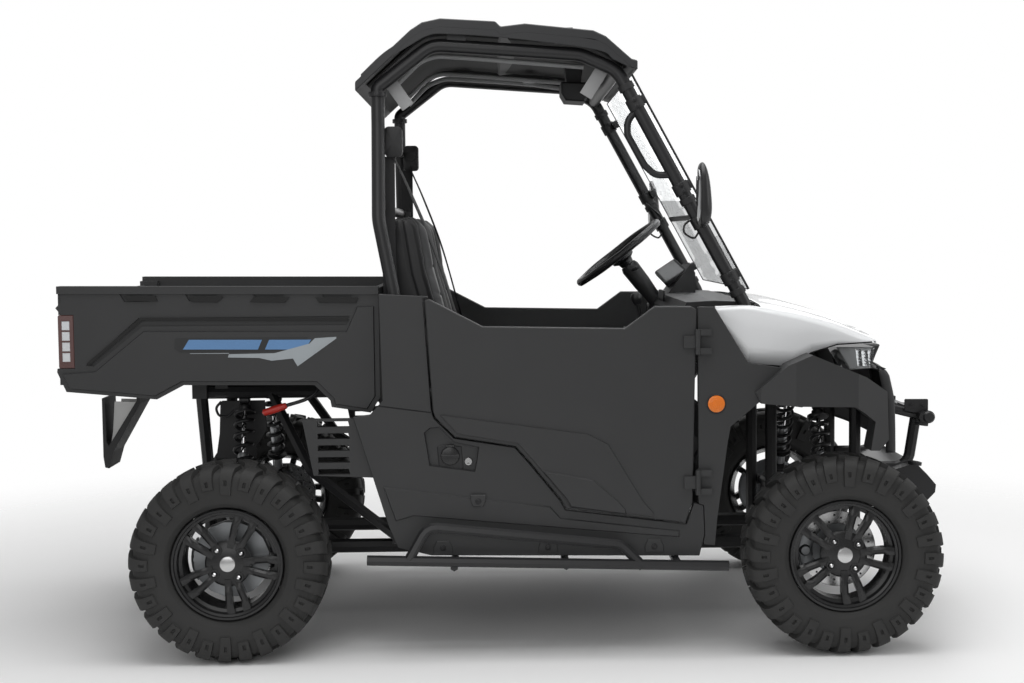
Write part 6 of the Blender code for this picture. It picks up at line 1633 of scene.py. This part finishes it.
CAMERA_PLACE = (-0.0537, -5.788, 1.3725)
CAMERA_RIGHT = (0.99988, -0.01068, -0.01112)
CAMERA_UP = (0.01181, 0.06659, 0.99771)
CAMERA_AHEAD = (0.00992, 0.99772, -0.06671)
CAMERA_LENS = 55.3
FLOOR_REACH = 4.5
FLOOR_FADE = (2.0, 4.2)
WORLD_LEVEL = 0.4
STUDIO_LAMPS = (
    # name, place, target, size, share of the overhead lamp's power
    ("Overhead", (0.2, -0.6, 4.6), (0.0, 0.0, 0.6), 4.5, 1.0),
    ("Front Fill", (-1.5, -5.5, 2.6), (0.0, 0.0, 0.8), 3.5, 0.28),
    ("Rear Fill", (1.5, 4.5, 3.2), (0.0, 0.0, 1.0), 3.5, 0.28),
    ("Nose Fill", (5.0, -1.0, 2.4), (1.0, 0.0, 0.9), 2.5, 0.18),
)


def build_camera(scene):
    """A camera where the photograph was taken from."""
    camera = bpy.data.cameras.new("Camera")
    camera.lens = CAMERA_LENS
    camera.sensor_width = 36.0
    eye = bpy.data.objects.new("Camera", camera)
    turn = Matrix((CAMERA_RIGHT, CAMERA_UP, [-value for value in CAMERA_AHEAD])).transposed()
    eye.matrix_world = Matrix.Translation(CAMERA_PLACE) @ turn.to_4x4()
    scene.collection.objects.link(eye)
    scene.camera = eye


def build_world(scene):
    """A world that is white to the camera and through glass, and dimmer as a light."""
    scene.world = bpy.data.worlds.new("Studio")
    scene.world.use_nodes = True
    tree = scene.world.node_tree
    back = tree.nodes["Background"]
    path = tree.nodes.new("ShaderNodeLightPath")
    seen = tree.nodes.new("ShaderNodeMath")
    seen.operation = "MAXIMUM"
    wire(tree, path.outputs["Is Camera Ray"], seen.inputs[0])
    wire(tree, path.outputs["Is Transmission Ray"], seen.inputs[1])
    level = tree.nodes.new("ShaderNodeMapRange")
    level.inputs["To Min"].default_value = WORLD_LEVEL
    level.inputs["To Max"].default_value = 1.0
    wire(tree, seen.outputs["Value"], level.inputs["Value"])
    wire(tree, level.outputs["Result"], back.inputs["Strength"])
    back.inputs["Color"].default_value = (1, 1, 1, 1)


def build_floor():
    """A flat floor that fades out with the distance from the origin."""
    look = bpy.data.materials.new("Studio Floor")
    look.use_nodes = True
    tree = look.node_tree
    shader = tree.nodes["Principled BSDF"]
    shader.inputs["Base Color"].default_value = (*sizes().floor_colour, 1)
    shader.inputs["Roughness"].default_value = 0.9
    shader.inputs["Specular IOR Level"].default_value = 0.0
    place = tree.nodes.new("ShaderNodeTexCoord")
    reach = tree.nodes.new("ShaderNodeVectorMath")
    reach.operation = "LENGTH"
    wire(tree, place.outputs["Object"], reach.inputs[0])
    fade = tree.nodes.new("ShaderNodeMapRange")
    fade.interpolation_type = "SMOOTHSTEP"
    for key, value in zip(("From Min", "From Max", "To Min", "To Max"), (*FLOOR_FADE, 1.0, 0.0)):
        fade.inputs[key].default_value = value
    wire(tree, reach.outputs["Value"], fade.inputs["Value"])
    wire(tree, fade.outputs["Result"], shader.inputs["Alpha"])
    mesh = bpy.data.meshes.new("studio_floor")
    corners = [(x * FLOOR_REACH, y * FLOOR_REACH, 0) for x, y in ((-1, -1), (1, -1), (1, 1), (-1, 1))]
    mesh.from_pydata(corners, [], [(0, 1, 2, 3)])
    link_mesh("studio_floor", mesh, look.name)


def build_stage():
    """The camera, the world, the floor and four soft lamps."""
    scene = bpy.context.scene
    scene.view_settings.view_transform = "Standard"
    build_camera(scene)
    build_world(scene)
    build_floor()
    for name, place, target, size, share in STUDIO_LAMPS:
        lamp = bpy.data.lights.new(name, "AREA")
        lamp.size = size
        lamp.energy = sizes().light * share
        obj = bpy.data.objects.new(name, lamp)
        obj.location = place
        obj.rotation_euler = (Vector(target) - Vector(place)).to_track_quat("-Z", "Y").to_euler()
        scene.collection.objects.link(obj)


# Operators and panel

class VehicleOperator(bpy.types.Operator):
    """Runs its builders in order"""
    bl_idname = "vehicle.base"
    bl_label = "Build"
    bl_options = {"UNDO"}
    builders = ()

    def execute(self, context):
        for builder in self.builders:
            builder()
        return {"FINISHED"}


class VehicleFinishes(VehicleOperator):
    """Makes the finishes and gives each solid its own"""
    bl_idname = "vehicle.finishes"
    bl_label = "Finishes"
    builders = (build_finishes, dress_nodes)


class VehicleWheels(VehicleOperator):
    """Makes lugged tyres, spoked rims, caps, nuts and brake discs"""
    bl_idname = "vehicle.wheels"
    bl_label = "Wheels"
    builders = (build_wheels,)


class VehicleBrakes(VehicleOperator):
    """Makes the brake calipers"""
    bl_idname = "vehicle.brakes"
    bl_label = "Brakes"
    builders = (build_calipers,)


class VehicleDampers(VehicleOperator):
    """Makes the four coil-over dampers"""
    bl_idname = "vehicle.dampers"
    bl_label = "Dampers"
    builders = (build_dampers,)


class VehicleCage(VehicleOperator):
    """Makes the round cage tubes, their collars and the screen's clamps"""
    bl_idname = "vehicle.cage"
    bl_label = "Cage"
    builders = (build_rails, build_hoop, build_collars)


class VehicleSeats(VehicleOperator):
    """Makes the padded seats, their piping and the shells behind them"""
    bl_idname = "vehicle.seats"
    bl_label = "Seats"
    builders = (build_seats,)


class VehicleBelts(VehicleOperator):
    """Makes the belts, reels and buckles"""
    bl_idname = "vehicle.belts"
    bl_label = "Belts"
    builders = (build_belts,)


class VehicleHood(VehicleOperator):
    """Makes the hood with its raised middle"""
    bl_idname = "vehicle.hood"
    bl_label = "Hood"
    builders = (build_hood,)


class VehicleLamps(VehicleOperator):
    """Makes the nose panel, the headlights and the tail lights"""
    bl_idname = "vehicle.lamps"
    bl_label = "Lamps"
    builders = (build_fascia, build_headlights, build_tail_lights)


class VehicleCab(VehicleOperator):
    """Makes the steering wheel, the display, the mirrors and the windscreen's trim"""
    bl_idname = "vehicle.cab"
    bl_label = "Cab"
    builders = (build_steering, build_display, build_mirrors, build_screen_trim)


class VehicleTrim(VehicleOperator):
    """Makes the tabs, bolts, port, reflectors, stripes, levers, guard ends and the pieces under the roof"""
    bl_idname = "vehicle.trim"
    bl_label = "Trim"
    builders = (build_side_trim, build_charge_port, build_stripes, build_bed_shades, build_plate_gussets,
                build_roof_lining, build_roof_ribs, build_lever, build_guard, build_vents, build_levers,
                build_bed_trim, build_tow_details)


class VehicleStage(VehicleOperator):
    """Makes the floor, the lamps and the camera"""
    bl_idname = "vehicle.stage"
    bl_label = "Stage"
    builders = (build_stage,)


OPERATORS = (VehicleStage, VehicleFinishes, VehicleWheels, VehicleBrakes, VehicleDampers, VehicleCage,
             VehicleSeats, VehicleBelts, VehicleHood, VehicleLamps, VehicleCab, VehicleTrim)


class VehiclePanel(bpy.types.Panel):
    """Lists the building steps and their sizes"""
    bl_idname = "VIEW3D_PT_vehicle"
    bl_label = "Utility Vehicle"
    bl_space_type = "VIEW_3D"
    bl_region_type = "UI"
    bl_category = "Vehicle"

    def draw(self, context):
        for name in VehicleSizes.__annotations__:
            self.layout.prop(context.scene.vehicle_sizes, name)
        for operator in OPERATORS:
            self.layout.operator(operator.bl_idname)


def register():
    """Registers the classes and hangs the sizes on the scene."""
    for cls in (VehicleSizes, *OPERATORS, VehiclePanel):
        bpy.utils.register_class(cls)
    bpy.types.Scene.vehicle_sizes = PointerProperty(type=VehicleSizes)


def unregister():
    """Takes off what register put on."""
    del bpy.types.Scene.vehicle_sizes
    for cls in (VehiclePanel, *reversed(OPERATORS), VehicleSizes):
        bpy.utils.unregister_class(cls)


def main():
    """Registers the add-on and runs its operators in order."""
    register()
    for operator in OPERATORS:
        group, name = operator.bl_idname.split(".")
        getattr(getattr(bpy.ops, group), name)()


if __name__ == "__main__":
    main()
